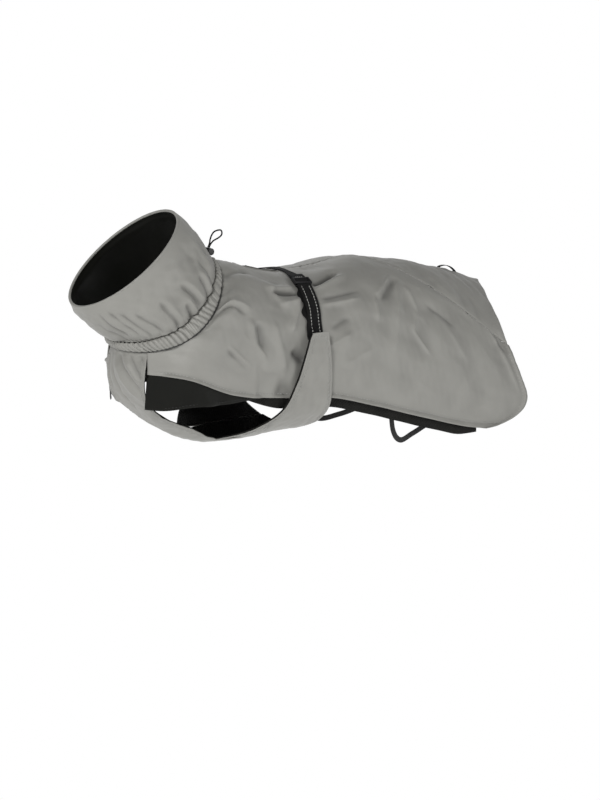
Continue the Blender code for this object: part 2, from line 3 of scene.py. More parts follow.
import bmesh
import bpy
import numpy as np
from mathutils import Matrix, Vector


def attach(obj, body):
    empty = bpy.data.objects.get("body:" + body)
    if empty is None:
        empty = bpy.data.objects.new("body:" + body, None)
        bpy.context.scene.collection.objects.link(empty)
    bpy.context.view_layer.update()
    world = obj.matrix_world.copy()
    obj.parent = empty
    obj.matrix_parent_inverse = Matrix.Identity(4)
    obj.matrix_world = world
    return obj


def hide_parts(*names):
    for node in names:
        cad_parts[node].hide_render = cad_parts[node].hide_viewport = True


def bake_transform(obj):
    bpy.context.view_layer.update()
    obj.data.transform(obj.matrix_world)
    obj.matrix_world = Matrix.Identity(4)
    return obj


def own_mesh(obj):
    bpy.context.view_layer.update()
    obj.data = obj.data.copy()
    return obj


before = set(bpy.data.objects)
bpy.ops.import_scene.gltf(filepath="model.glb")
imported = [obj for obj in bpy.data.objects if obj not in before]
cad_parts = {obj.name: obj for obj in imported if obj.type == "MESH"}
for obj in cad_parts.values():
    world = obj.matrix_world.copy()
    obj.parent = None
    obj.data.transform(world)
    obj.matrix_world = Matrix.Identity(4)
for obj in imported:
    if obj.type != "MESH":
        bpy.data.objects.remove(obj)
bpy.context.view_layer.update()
print("coat: frame loaded,", len(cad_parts), "nodes")

# camera, floor and light
studio = {
    "cameraPlace": (-2.265, -2.947, 0.561),
    "cameraTarget": (0.04594, 0.0, -0.21568),
    "lens": 108.0,  # mm, on a 36 mm sensor
    "floorHeight": -0.504,  # where the dog's paws would stand
    "floorSize": 90.0,
    "skyTop": 0.14,
    "skyEdge": 0.46,
    "lightTarget": (0.0, 0.0, -0.12),
    # lights: place, size, watts
    "keyLight": ((-3.0, -2.0, 2.0), 1.0, 92),
    "fillLight": ((1.4, -3.4, 0.3), 1.8, 20),
    "backLight": ((1.6, 2.6, 1.6), 1.6, 16),
}


def aimAt(obj, target):
    obj.rotation_euler = (Vector(target) - obj.location).to_track_quat("-Z", "Y").to_euler()


def addCamera():
    camera = bpy.data.objects.new("camera", bpy.data.cameras.new("camera"))
    camera.data.lens = studio["lens"]
    camera.data.sensor_width = 36.0
    camera.data.clip_end = 200.0
    camera.location = studio["cameraPlace"]
    bpy.context.scene.collection.objects.link(camera)
    aimAt(camera, studio["cameraTarget"])
    bpy.context.scene.camera = camera


def addAreaLight(name, place, size, power):
    light = bpy.data.lights.new(name, "AREA")
    light.shape = "DISK"
    light.size = size
    light.energy = power
    obj = bpy.data.objects.new(name, light)
    obj.location = place
    bpy.context.scene.collection.objects.link(obj)
    aimAt(obj, studio["lightTarget"])


def addStage():
    half = studio["floorSize"] / 2
    corners = [(-half, -half), (half, -half), (half, half), (-half, half)]
    mesh = bpy.data.meshes.new("floor")
    mesh.from_pydata([(x, y, studio["floorHeight"]) for x, y in corners], [], [(0, 1, 2, 3)])
    floor = bpy.data.objects.new("floor", mesh)
    bpy.context.scene.collection.objects.link(floor)
    paint = bpy.data.materials.new("floorPaint")
    paint.use_nodes = True
    # a lit white sweep, so the floor shows no shadow
    shader = paint.node_tree.nodes["Principled BSDF"]
    shader.inputs["Base Color"].default_value = (0.0, 0.0, 0.0, 1)
    shader.inputs["Specular IOR Level"].default_value = 0.0
    shader.inputs["Emission Color"].default_value = (1.0, 1.0, 1.0, 1)
    shader.inputs["Emission Strength"].default_value = 1.0
    floor.data.materials.append(paint)
    # sky: brightest at the horizon, dimmer overhead
    world = bpy.data.worlds.new("studio")
    world.use_nodes = True
    tree = world.node_tree
    coordinates = tree.nodes.new("ShaderNodeTexCoord")
    split = tree.nodes.new("ShaderNodeSeparateXYZ")
    tree.links.new(coordinates.outputs["Generated"], split.inputs[0])
    fade = tree.nodes.new("ShaderNodeMapRange")
    for number, value in enumerate((0.0, 0.75, studio["skyEdge"], studio["skyTop"])):
        fade.inputs[number + 1].default_value = value
    tree.links.new(split.outputs["Z"], fade.inputs[0])
    tree.links.new(fade.outputs[0], tree.nodes["Background"].inputs["Strength"])
    tree.nodes["Background"].inputs["Color"].default_value = (1.0, 1.0, 1.0, 1)
    bpy.context.scene.world = world
    for name in ("keyLight", "fillLight", "backLight"):
        addAreaLight(name, *studio[name])
    bpy.context.scene.view_settings.view_transform = "Standard"


addCamera()
addStage()
print("coat: camera and light ready")


# shapes worked out on grids
def ease(x):
    x = np.clip(x, 0.0, 1.0)
    return x * x * (3 - 2 * x)


def bell(distance, width):
    return np.exp(-((distance / width) ** 2))


def unit(v):
    return v / np.linalg.norm(v, axis=-1, keepdims=True)


def stack(x, y, z):
    return np.stack(np.broadcast_arrays(x, y, z), axis=-1)


def throughRows(rows, at):
    # smooth cubic through a table's rows; the first column is the station where each row holds
    rows = np.asarray(rows, float)
    knots, values = rows[:, 0], rows[:, 1:]
    at = np.asarray(at, float)
    slopes = np.gradient(values, knots, axis=0)
    i = np.clip(np.searchsorted(knots, at, side="right") - 1, 0, len(knots) - 2)
    span = (knots[i + 1] - knots[i])[..., None]
    s = (at - knots[i])[..., None] / span
    start = (2 * s**3 - 3 * s**2 + 1) * values[i] + (s**3 - 2 * s**2 + s) * span * slopes[i]
    end = (3 * s**2 - 2 * s**3) * values[i + 1] + (s**3 - s**2) * span * slopes[i + 1]
    return start + end


def waves(x, y, seed, size, count=16):
    # smooth noise near -1 to 1: seeded sine waves in all directions, with lengths around size
    rng = np.random.default_rng(seed)
    turns = rng.uniform(0, 2 * math.pi, count)
    lengths = size * rng.uniform(0.6, 1.7, count)
    phases = rng.uniform(0, 2 * math.pi, count)
    total = 0.0
    for turn, length, phase in zip(turns, lengths, phases):
        way = x * math.cos(turn) + y * math.sin(turn)
        total = total + np.sin(2 * math.pi / length * way + phase)
    return total * math.sqrt(1.4 / count)


def foldSum(x, y, folds, perMetre=1000):
    # each fold is a crease between two points: straight-sided with a tight top, dying away at both ends
    total = 0.0
    for x0, y0, x1, y1, width, rise in np.array(folds) / perMetre:
        length = math.hypot(x1 - x0, y1 - y0)
        alongX, alongY = (x1 - x0) / length, (y1 - y0) / length
        t = ((x - x0) * alongX + (y - y0) * alongY) / length
        across = (x - x0) * alongY - (y - y0) * alongX
        ends = ease((t + 0.12) / 0.38) * ease((1.12 - t) / 0.38)
        crown = 0.22 * width
        fromTop = np.sqrt(across**2 + crown**2) - crown
        total = total + rise * np.exp(-fromTop / (0.72 * width)) * ends
    return total


def gathers(turn, count, seed):
    # gathered cloth around a seam: round backs between narrow valleys, unevenly spaced, about -1 to 0.5
    drift = 1.5 * waves(turn, 0.0, seed, 0.9, 8) + 0.5 * waves(turn, 0.0, seed + 1, 0.3, 6)
    depth = 0.75 + 0.25 * waves(turn, 0.0, seed + 2, 0.5, 6)
    return (np.abs(np.sin(turn * count / 2 + drift)) ** 0.75 * 1.5 - 1.0) * depth


def inward(surface, a, b, depth):
    # points of a surface moved along its normal by a depth that may differ from point to point
    a, b = np.broadcast_arrays(np.asarray(a, float), np.asarray(b, float))
    depth = np.broadcast_to(depth, a.shape)[..., None]
    return surface(a, b) - outwardNormal(surface, a, b) * depth


def outwardNormal(surface, a, b):
    step = 1e-4
    byA = surface(a + step, b) - surface(a - step, b)
    byB = surface(a, b + step) - surface(a, b - step)
    return unit(np.cross(byA, byB))


# meshes
def finishMesh(name, points, quads, corners, caps=()):
    # turns the faces outward by the sign of the volume, then stores points, faces and a metric UV map
    points = np.asarray(points, float).reshape(-1, 3)
    a, b, c, d = (points[quads[:, k]] for k in range(4))
    volume = (np.cross(a, b) * c).sum() + (np.cross(a, c) * d).sum()
    if volume < 0:
        quads, corners = quads[:, ::-1], corners[:, ::-1]
        caps = [cap[::-1] for cap in caps]
    faces = quads.tolist() + [list(cap) for cap in caps]
    mesh = bpy.data.meshes.new(name)
    mesh.from_pydata(points.tolist(), [], faces)
    capCorners = sum(len(cap) for cap in caps)
    flat = np.concatenate([corners.reshape(-1, 2), np.zeros((capCorners, 2))])
    mesh.uv_layers.new(name="cloth").data.foreach_set("uv", flat.astype(np.float32).ravel())
    mesh.shade_smooth()
    obj = bpy.data.objects.new(name, mesh)
    bpy.context.scene.collection.objects.link(obj)
    return obj


def sheetQuads(front, back, wrap):
    # two faces and their borders; a sheet that closes on itself has no borders along its rows
    quads = [
        (front[:-1, :-1], front[:-1, 1:], front[1:, 1:], front[1:, :-1]),
        (back[:-1, :-1], back[1:, :-1], back[1:, 1:], back[:-1, 1:]),
        (front[0, 1:], front[0, :-1], back[0, :-1], back[0, 1:]),
        (front[-1, :-1], front[-1, 1:], back[-1, 1:], back[-1, :-1]),
    ]
    if not wrap:
        quads.append((front[:-1, 0], front[1:, 0], back[1:, 0], back[:-1, 0]))
        quads.append((front[1:, -1], front[:-1, -1], back[:-1, -1], back[1:, -1]))
    return np.concatenate([np.stack(quad, axis=-1).reshape(-1, 4) for quad in quads])


def clothSheet(name, outer, inner, cloth, wrap=False):
    # closed sheet between two grids; cloth is the pair of metric cloth coordinates of each point
    rows, columns = outer.shape[:2]
    number = np.arange(2 * rows * columns).reshape(2, rows, columns)
    uv = np.stack(np.broadcast_arrays(*cloth), axis=-1)
    if wrap:
        number = np.concatenate([number, number[:, :, :1]], axis=2)
        step = uv[:, -1:] - uv[:, -2:-1]
        uv = np.concatenate([uv, uv[:, -1:] + step], axis=1)
    # both faces of the sheet read the same cloth coordinates
    spot = np.arange(uv[..., 0].size).reshape(uv.shape[:2])
    corners = uv.reshape(-1, 2)[sheetQuads(spot, spot, wrap)]
    points = np.concatenate([outer.reshape(-1, 3), inner.reshape(-1, 3)])
    return finishMesh(name, points, sheetQuads(*number, wrap), corners)


def addShade(obj, shade):
    # painted shade: how much each point is darkened for lying deep in a fold, from 0 to 1; both grids
    # of the sheet take the same values
    both = np.concatenate([shade.ravel(), shade.ravel()])
    layer = obj.data.attributes.new("foldShade", "FLOAT", "POINT")
    layer.data.foreach_set("value", np.clip(both, 0, 1).astype(np.float32))


def flatProfile(width, thick, sides=20, square=0.28):
    # outline of a woven strap: a squared-off oval
    turn = np.arange(sides) / sides * 2 * math.pi
    across, up = np.cos(turn), np.sin(turn)
    x = np.sign(across) * np.abs(across) ** square * width / 2
    y = np.sign(up) * np.abs(up) ** square * thick / 2
    return np.stack([x, y], axis=-1)


def sweep(name, centre, across, out, profile, closed=False):
    # a closed outline carried along a path; the outline may be given once or for each point of the path
    profile = np.broadcast_to(profile, (len(centre), *np.asarray(profile).shape[-2:]))
    rings = centre[:, None] + across[:, None] * profile[..., :1] + out[:, None] * profile[..., 1:]
    count, sides = rings.shape[:2]
    number = np.arange(count * sides).reshape(count, sides)
    number = np.concatenate([number, number[:, :1]], axis=1)
    steps = np.linalg.norm(np.diff(centre, axis=0), axis=1)
    along = np.concatenate([[0.0], np.cumsum(steps)])
    edges = np.linalg.norm(np.diff(profile[0], axis=0, append=profile[0][:1]), axis=1)
    around = np.concatenate([[0.0], np.cumsum(edges)])
    if closed:
        number = np.concatenate([number, number[:1]])
        along = np.append(along, along[-1] + np.linalg.norm(centre[0] - centre[-1]))
    uv = np.stack(np.meshgrid(along, around, indexing="ij"), axis=-1)
    quads = np.stack([number[:-1, :-1], number[:-1, 1:], number[1:, 1:], number[1:, :-1]], axis=-1)
    corners = np.stack([uv[:-1, :-1], uv[:-1, 1:], uv[1:, 1:], uv[1:, :-1]], axis=-2)
    caps = [] if closed else [number[0, :-1][::-1].tolist(), number[-1, :-1].tolist()]
    return finishMesh(name, rings, quads.reshape(-1, 4), corners.reshape(-1, 4, 2), caps)


def alongPath(points, spacing, start=0.0, end=0.0):
    # evenly spaced arc lengths along a path, and each column of the path read there
    steps = np.linalg.norm(np.diff(points, axis=0), axis=1)
    along = np.concatenate([[0.0], np.cumsum(steps)])
    at = np.arange(start, along[-1] - end, spacing)
    return at, lambda values, where: np.stack([np.interp(where, along, c) for c in values.T], axis=-1)


def stitchRow(name, line, out, finish, pitch=0.0054, length=0.0038, radius=0.00045):
    # a row of thread: each stitch is a small spindle that arches out of the cloth and dips at both ends
    at, read = alongPath(line, pitch, pitch, pitch)
    place = read(line, at)
    along = unit(read(line, at + 1e-4) - read(line, at - 1e-4))
    up = unit(read(out, at))
    side = unit(np.cross(along, up))
    share = np.array([-0.5, -0.38, 0.0, 0.38, 0.5])
    girth = np.array([0.25, 0.85, 1.0, 0.85, 0.25]) * radius
    arch = np.array([-0.9, 0.1, 0.7, 0.1, -0.9]) * radius
    turn = np.arange(6) / 6 * 2 * math.pi
    ring = (
        (share * length)[:, None, None] * along[:, None, None]
        + arch[:, None, None] * up[:, None, None]
        + (girth[:, None] * np.cos(turn))[..., None] * side[:, None, None]
        + (girth[:, None] * np.sin(turn))[..., None] * up[:, None, None]
    )
    points = place[:, None, None] + ring
    number = np.arange(points[..., 0].size).reshape(points.shape[:3])
    loop = np.concatenate([number, number[..., :1]], axis=2)
    quads = np.stack([loop[:, :-1, :-1], loop[:, :-1, 1:], loop[:, 1:, 1:], loop[:, 1:, :-1]], axis=-1)
    caps = [c[::-1] for c in number[:, 0].tolist()] + number[:, -1].tolist()
    quads = quads.reshape(-1, 4)
    obj = finishMesh(name, points, quads, np.zeros((len(quads), 4, 2)), caps)
    obj.data.materials.append(finish)
    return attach(obj, "coat")


def grid(down, along):
    return np.meshgrid(down, along, indexing="ij")


def clothPiece(name, surface, a, b, height, thick, finish, flip=1.0, shade=None, depth=0.0):
    # a sheet that follows a surface at a depth below it, raised by a height that varies over the grid
    outer = inward(surface, a, b, depth - height) * flip
    inner = inward(surface, a, b, depth + thick - height) * flip
    piece = clothSheet(name, outer, inner, clothCoordinates(outer))
    if shade is not None:
        addShade(piece, shade)
    piece.data.materials.append(cloths[finish])
    return piece


# finishes: colours in linear light; thread is the weave's period in metres
# blotch and grain are noise scales, shaded is the colour deep in a fold
shellWeave = {
    "thread": 0.0006, "grain": 900.0, "roughness": (0.50, 0.62), "metallic": 0.12, "sheen": 0.12,
}
finishes = {
    "greyCloth": {
        **shellWeave, "colour": (0.272, 0.268, 0.247), "shaded": (0.085, 0.084, 0.078),
        "tint": 0.04, "blotch": 22.0, "weave": 0.10,
    },
    # painted highlight: the same grey cloth painted lighter, with a lighter shaded colour, for the
    # rolled rim
    "litRimCloth": {
        **shellWeave, "colour": (0.290, 0.286, 0.264), "shaded": (0.20, 0.197, 0.182),
        "tint": 0.05, "blotch": 60.0, "weave": 0.12,
    },
    # painted shade: the grey cloth painted darker, with a near-black shaded colour for the slit
    "shadedWeltCloth": {
        **shellWeave, "colour": (0.24, 0.237, 0.218), "shaded": (0.012, 0.012, 0.012),
        "tint": 0.05, "blotch": 60.0, "weave": 0.10,
    },
    "liningKnit": {
        "colour": (0.013, 0.013, 0.0115), "shaded": (0.0015, 0.0015, 0.0015),
        "tint": 0.25, "blotch": 40.0, "thread": 0.0033, "slant": 0.7, "weave": 0.9, "grain": 500.0,
        "roughness": (0.72, 0.9), "metallic": 0.0, "sheen": 0.03, "specular": 0.12,
    },
    "flapCloth": {
        "colour": (0.0050, 0.0052, 0.0038), "shaded": (0.0025, 0.0025, 0.002),
        "tint": 0.2, "blotch": 30.0, "thread": 0.0007, "weave": 0.15, "grain": 800.0,
        "roughness": (0.42, 0.55), "metallic": 0.0, "sheen": 0.02, "specular": 0.15,
    },
    "webbing": {
        "colour": (0.007, 0.007, 0.007), "shaded": (0.003, 0.003, 0.003), "tint": 0.4, "blotch": 300.0,
        "thread": 0.0016, "slant": 0.9, "weave": 0.8, "grain": 700.0, "roughness": (0.55, 0.8),
        "metallic": 0.0, "sheen": 0.02, "specular": 0.12,
    },
    "elastic": {
        "colour": (0.011, 0.011, 0.011), "shaded": (0.005, 0.005, 0.005), "tint": 0.3, "blotch": 200.0,
        "thread": 0.0011, "weave": 0.7, "grain": 600.0, "roughness": (0.6, 0.82),
        "metallic": 0.0, "sheen": 0.05, "specular": 0.3,
    },
    "piping": {
        "colour": (0.030, 0.030, 0.029), "shaded": (0.015, 0.015, 0.015), "tint": 0.3, "blotch": 300.0,
        "thread": 0.0009, "slant": 0.8, "weave": 0.6, "grain": 600.0, "roughness": (0.6, 0.8),
        "metallic": 0.0, "sheen": 0.1,
    },
}


class Nodes:
    # a material's node tree, with one short call for each kind of node
    def __init__(self, name):
        self.material = bpy.data.materials.new(name)
        self.material.use_nodes = True
        self.tree = self.material.node_tree
        self.shader = self.tree.nodes["Principled BSDF"]

    def add(self, kind, **fixed):
        node = self.tree.nodes.new("ShaderNode" + kind)
        for key, value in fixed.items():
            setattr(node, key, value)
        return node

    def feed(self, socket, value):
        if isinstance(value, bpy.types.NodeSocket):
            self.tree.links.new(value, socket)
        else:
            socket.default_value = value

    def sums(self, operation, a, b):
        node = self.add("Math", operation=operation)
        self.feed(node.inputs[0], a)
        self.feed(node.inputs[1], b)
        return node.outputs[0]

    def mixed(self, share, a, b):
        node = self.add("Mix", data_type="RGBA")
        self.feed(node.inputs[0], share)
        self.feed(node.inputs[6], a)
        self.feed(node.inputs[7], b)
        return node.outputs[2]

    def ranged(self, value, low, high, newLow, newHigh):
        node = self.add("MapRange")
        for socket, item in zip(node.inputs, (value, low, high, newLow, newHigh)):
            self.feed(socket, item)
        return node.outputs[0]

    def noise(self, vector, scale, detail=3.0):
        node = self.add("TexNoise")
        self.feed(node.inputs["Vector"], vector)
        node.inputs["Scale"].default_value = scale
        node.inputs["Detail"].default_value = detail
        return node.outputs[0]

    def bands(self, vector, period, direction, turn=0.0):
        # sine bands with a period in metres, turned in the cloth's plane
        mapping = self.add("Mapping")
        mapping.inputs["Rotation"].default_value = (0, 0, turn)
        self.feed(mapping.inputs["Vector"], vector)
        node = self.add("TexWave", wave_type="BANDS", bands_direction=direction)
        self.feed(node.inputs["Vector"], mapping.outputs[0])
        node.inputs["Scale"].default_value = 2 * math.pi / (20 * period)
        return node.outputs[1]

    def bump(self, height, strength, distance):
        node = self.add("Bump")
        node.inputs["Strength"].default_value = strength
        node.inputs["Distance"].default_value = distance
        self.feed(node.inputs["Height"], height)
        self.feed(self.shader.inputs["Normal"], node.outputs[0])


def clothFinish(name, look):
    # bands for warp and weft, fine noise for fibres, broad noise for colour; folds and the gaps between
    # threads are painted darker, as painted shade
    n = Nodes(name)
    cloth = n.add("UVMap", uv_map="cloth").outputs[0]
    slant = look.get("slant", 0.0)
    warp = n.bands(cloth, look["thread"], "X", slant)
    weft = n.bands(cloth, look["thread"], "Y", slant)
    fibres = n.noise(cloth, look["grain"])
    weave = n.sums("MAXIMUM", warp, weft)
    blotch = n.noise(cloth, look["blotch"], 5.0)
    even = [*look["colour"], 1.0]
    lighter = [min(c * (1 + look["tint"] * 2), 1.0) for c in look["colour"]] + [1.0]
    darker = [c * (1 - look["tint"] * 2) for c in look["colour"]] + [1.0]
    base = n.mixed(n.ranged(blotch, 0.3, 0.7, 0.0, 1.0), darker, lighter)
    base = n.mixed(0.5, base, even)
    fold = n.add("Attribute", attribute_name="foldShade").outputs["Fac"]
    # painted shade: deep in folds the colour turns to the shaded colour
    base = n.mixed(fold, base, [*look["shaded"], 1.0])
    # painted shade between the threads: where the weave is low the colour turns towards the shaded
    # colour
    between = n.ranged(weave, 0.0, 0.8, 0.35 * look["weave"], 0.0)
    base = n.mixed(between, base, [*look["shaded"], 1.0])
    n.feed(n.shader.inputs["Base Color"], base)
    n.feed(n.shader.inputs["Roughness"], n.ranged(fibres, 0.3, 0.7, *look["roughness"]))
    n.shader.inputs["Metallic"].default_value = look["metallic"]
    n.shader.inputs["Sheen Weight"].default_value = look["sheen"]
    n.shader.inputs["Sheen Roughness"].default_value = 0.5
    n.shader.inputs["Specular IOR Level"].default_value = look.get("specular", 0.5)
    height = n.sums("ADD", weave, n.sums("MULTIPLY", fibres, 0.6))
    n.bump(height, look["weave"], look["thread"] * 0.35)
    return n.material


def plasticFinish(name, colour=(0.013, 0.013, 0.014), roughness=(0.30, 0.46)):
    # moulded plastic: a fine spark-eroded grain, slightly worn and lighter in patches
    n = Nodes(name)
    place = n.add("TexCoord").outputs["Object"]
    grain = n.noise(place, 2600.0, 2.0)
    wear = n.noise(place, 240.0, 4.0)
    worn = [c * 2.2 + 0.004 for c in colour] + [1.0]
    paint = n.mixed(n.ranged(wear, 0.55, 0.8, 0.0, 0.6), [*colour, 1.0], worn)
    n.feed(n.shader.inputs["Base Color"], paint)
    n.feed(n.shader.inputs["Roughness"], n.ranged(wear, 0.3, 0.7, *roughness))
    n.bump(grain, 0.25, 0.00006)
    return n.material


def steelFinish(name):
    # drawn wire: bright, with fine scratches
    n = Nodes(name)
    place = n.add("TexCoord").outputs["Object"]
    scratch = n.noise(place, 3000.0, 3.0)
    n.shader.inputs["Base Color"].default_value = (0.58, 0.58, 0.57, 1.0)
    n.shader.inputs["Metallic"].default_value = 1.0
    n.feed(n.shader.inputs["Roughness"], n.ranged(scratch, 0.3, 0.7, 0.2, 0.38))
    n.bump(scratch, 0.15, 0.00003)
    return n.material


def threadFinish(name, colour):
    # twisted thread: slanted bands along the stitch
    n = Nodes(name)
    place = n.add("TexCoord").outputs["Object"]
    twist = n.bands(place, 0.0006, "DIAGONAL")
    # painted shade: the thread is painted darker in the grooves of its twist
    dark = [c * 0.6 for c in colour] + [1.0]
    n.feed(n.shader.inputs["Base Color"], n.mixed(twist, dark, [*colour, 1.0]))
    n.shader.inputs["Roughness"].default_value = 0.6
    n.bump(twist, 0.3, 0.0001)
    return n.material


cloths = {name: clothFinish(name, look) for name, look in finishes.items()}
moulded = plasticFinish("mouldedPlastic")
springWire = steelFinish("springWire")
greyThread = threadFinish("greyThread", (0.40, 0.40, 0.38))
lightThread = threadFinish("lightThread", (0.80, 0.80, 0.76))
blackThread = threadFinish("blackThread", (0.02, 0.02, 0.02))
print("coat: finishes ready")


# the coat's surfaces
coatShape = {
    # curves from spine to hem: station, spine x z, hem x y z, pulls at spine and hem x y z
    "shell": [
        [0.00, -0.136, 0.027, -0.286, 0.054, -0.126, -0.020, 0.122, -0.004, 0.040, 0.072, 0.018],
        [0.12, -0.096, 0.020, -0.246, 0.103, -0.131, -0.020, 0.120, 0.000, 0.026, 0.024, 0.062],
        [0.25, -0.050, 0.006, -0.170, 0.114, -0.162, -0.015, 0.112, 0.000, 0.022, 0.012, 0.085],
        [0.38, 0.000, -0.001, -0.080, 0.117, -0.178, -0.010, 0.108, 0.000, 0.016, 0.006, 0.095],
        [0.50, 0.060, 0.001, 0.010, 0.121, -0.187, -0.005, 0.112, 0.000, 0.012, 0.006, 0.100],
        [0.62, 0.128, 0.007, 0.088, 0.129, -0.208, 0.000, 0.108, 0.000, 0.008, 0.004, 0.110],
        [0.75, 0.215, -0.002, 0.190, 0.137, -0.240, 0.000, 0.104, 0.000, 0.004, 0.002, 0.120],
        [0.88, 0.320, -0.025, 0.300, 0.142, -0.270, -0.020, 0.100, 0.000, -0.002, 0.002, 0.120],
        [1.00, 0.423, -0.057, 0.433, 0.142, -0.284, -0.060, 0.094, -0.006, -0.055, 0.004, 0.110],
    ],
    # rings of the neck and snood: station, nape x z, throat x z, half width, dip of the sides
    "neck": [
        [0.00, -0.136, 0.027, -0.293, -0.095, 0.100, 0.024],
        [0.17, -0.142, 0.036, -0.303, -0.081, 0.085, 0.018],
        [0.30, -0.148, 0.048, -0.317, -0.072, 0.088, 0.016],
        [0.50, -0.160, 0.068, -0.341, -0.058, 0.087, 0.012],
        [0.75, -0.180, 0.090, -0.360, -0.041, 0.083, 0.006],
        [1.00, -0.203, 0.108, -0.372, -0.023, 0.078, 0.000],
    ],
    # chest panel from throat to belly: station, middle x z, half width, set-back of the edge x z
    "chest": [
        [0.00, -0.2920, -0.094, 0.049, 0.012, 0.002],
        [0.08, -0.3000, -0.127, 0.051, 0.013, 0.000],
        [0.18, -0.2890, -0.162, 0.047, 0.006, -0.004],
        [0.34, -0.2510, -0.207, 0.048, 0.004, 0.006],
        [0.50, -0.2010, -0.240, 0.044, 0.000, 0.020],
        [0.64, -0.1550, -0.254, 0.048, 0.000, 0.010],
        [0.80, -0.0800, -0.257, 0.050, 0.000, 0.013],
        [1.00, 0.0080, -0.249, 0.050, 0.000, 0.005],
    ],
    # belly wing from the chest panel up to the strap: station, y, z, front x, rear x
    "wing": [
        [0.00, 0.0510, -0.2440, -0.158, 0.008],
        [0.22, 0.0960, -0.2260, -0.120, 0.008],
        [0.42, 0.1225, -0.1965, -0.082, 0.009],
        [0.60, 0.1280, -0.1570, -0.059, 0.008],
        [0.80, 0.1290, -0.1200, -0.044, 0.006],
        [1.00, 0.1260, -0.0820, -0.028, 0.003],
    ],
    "bibAngle": math.radians(150),  # where the bib seam leaves the neck seam
    "neckShare": 0.86,
    "rumpStart": 0.685,
    "rumpShare": 0.56,
    "strapLean": 0.0125,
    "wingTopShare": 0.66,
    "girth": 0.31,  # mean length from spine to hem
    "reach": 0.62,  # mean length of the back for one unit of station, near the neck
    "rearScale": 0.86,  # the same near the rear edge
    "cornerStart": 0.80,
    "cornerCut": 0.135,
}


def neckTube(turn, s):
    # tilted ellipse: turn 0 at the nape, half a turn at the throat; s from the neck seam to the rim
    rows = throughRows(coatShape["neck"], s)
    napeX, napeZ, throatX, throatZ, halfWidth, dip = np.moveaxis(rows, -1, 0)
    x = (napeX + throatX) / 2 + (napeX - throatX) / 2 * np.cos(turn)
    z = (napeZ + throatZ) / 2 + (napeZ - throatZ) / 2 * np.cos(turn) - dip * np.sin(turn) ** 2
    return stack(x, halfWidth * np.sin(turn), z)


def frontEdge(v):
    # along the neck seam, then straight down the bib seam to the hem
    share, bib = coatShape["neckShare"], coatShape["bibAngle"]
    seam = neckTube(bib * np.minimum(v / share, 1), np.zeros_like(v))
    drop = np.array(coatShape["shell"][0][3:6]) - neckTube(bib, 0.0)
    return seam + drop * np.clip((v - share) / (1 - share), 0, 1)[..., None]


def section(u, v):
    # Bezier curve from the spine to the hem at station u
    row = throughRows(coatShape["shell"], u)
    spine = stack(row[..., 0], 0.0, row[..., 1])
    hem = row[..., 2:5]
    v = v[..., None]
    w = 1 - v
    bend = 3 * w**2 * v * (spine + row[..., 5:8]) + 3 * w * v**2 * (hem + row[..., 8:11])
    return w**3 * spine + bend + v**3 * hem


def halfShell(u, v):
    # the coat's right half: v from 0 at the spine to 1 at the hem, then in metres straight down from it
    u, v = np.broadcast_arrays(np.asarray(u, float), np.asarray(v, float))
    inside = np.minimum(v, 1.0)
    fade = (1 - ease(u / 0.14))[..., None]
    point = section(u, inside) + fade * (frontEdge(inside) - section(np.zeros_like(u), inside))
    return point + np.maximum(v - 1.0, 0.0)[..., None] * np.array([0.0, -0.10, -0.99])


def chestFace(across, s):
    # a bowed strip: across from -1 to 1, s from the throat to the belly
    middleX, middleZ, halfWidth, backX, backZ = np.moveaxis(throughRows(coatShape["chest"], s), -1, 0)
    bow = np.asarray(across) ** 2
    return stack(middleX + backX * bow, halfWidth * across, middleZ + backZ * bow)


def halfWing(t, across):
    # straight lines from the front edge to the rear edge, at each height t
    y, z, frontX, rearX = np.moveaxis(throughRows(coatShape["wing"], t), -1, 0)
    return stack(frontX + (rearX - frontX) * across, y, z)


sides = (("Left", -1), ("Right", 1))


def mirrored(side):
    return np.array([1.0, side, 1.0])


def rumpSeam(u):
    start = coatShape["rumpStart"]
    return coatShape["rumpShare"] * np.clip((u - start) / (1 - start), 0, 1) ** 0.60


def rearReach(v):
    # how far back a curve of share v runs, less near the hem, which rounds the lower corner
    start = coatShape["cornerStart"]
    past = np.clip((v - start) / (1 - start), 0, 1)
    return 1 - coatShape["cornerCut"] * (1 - np.sqrt(1 - 0.96 * past**2))


def panelGrid(steps, columns, end, upper, lower, start):
    # grid of u and v from the front edge to an end station, between two limits of v
    a, b = grid(steps, columns)
    u = end * a
    for _ in range(6):
        v = upper(u) + (lower(u) - upper(u)) * b
        first = start(v)
        u = first + (end * rearReach(np.minimum(v, 1.0)) - first) * a
    return u, v


def strapX(v):
    return -coatShape["strapLean"] * ease(np.abs(v) / coatShape["wingTopShare"])


def clothCoordinates(points):
    # metric cloth coordinates of a grid: mean arc lengths down its rows and along its columns
    down = np.linalg.norm(np.diff(points, axis=0), axis=-1).mean(axis=1)
    along = np.linalg.norm(np.diff(points, axis=1), axis=-1).mean(axis=0)
    down = np.concatenate([[0.0], np.cumsum(down)])
    along = np.concatenate([[0.0], np.cumsum(along)])
    return grid(down, along)


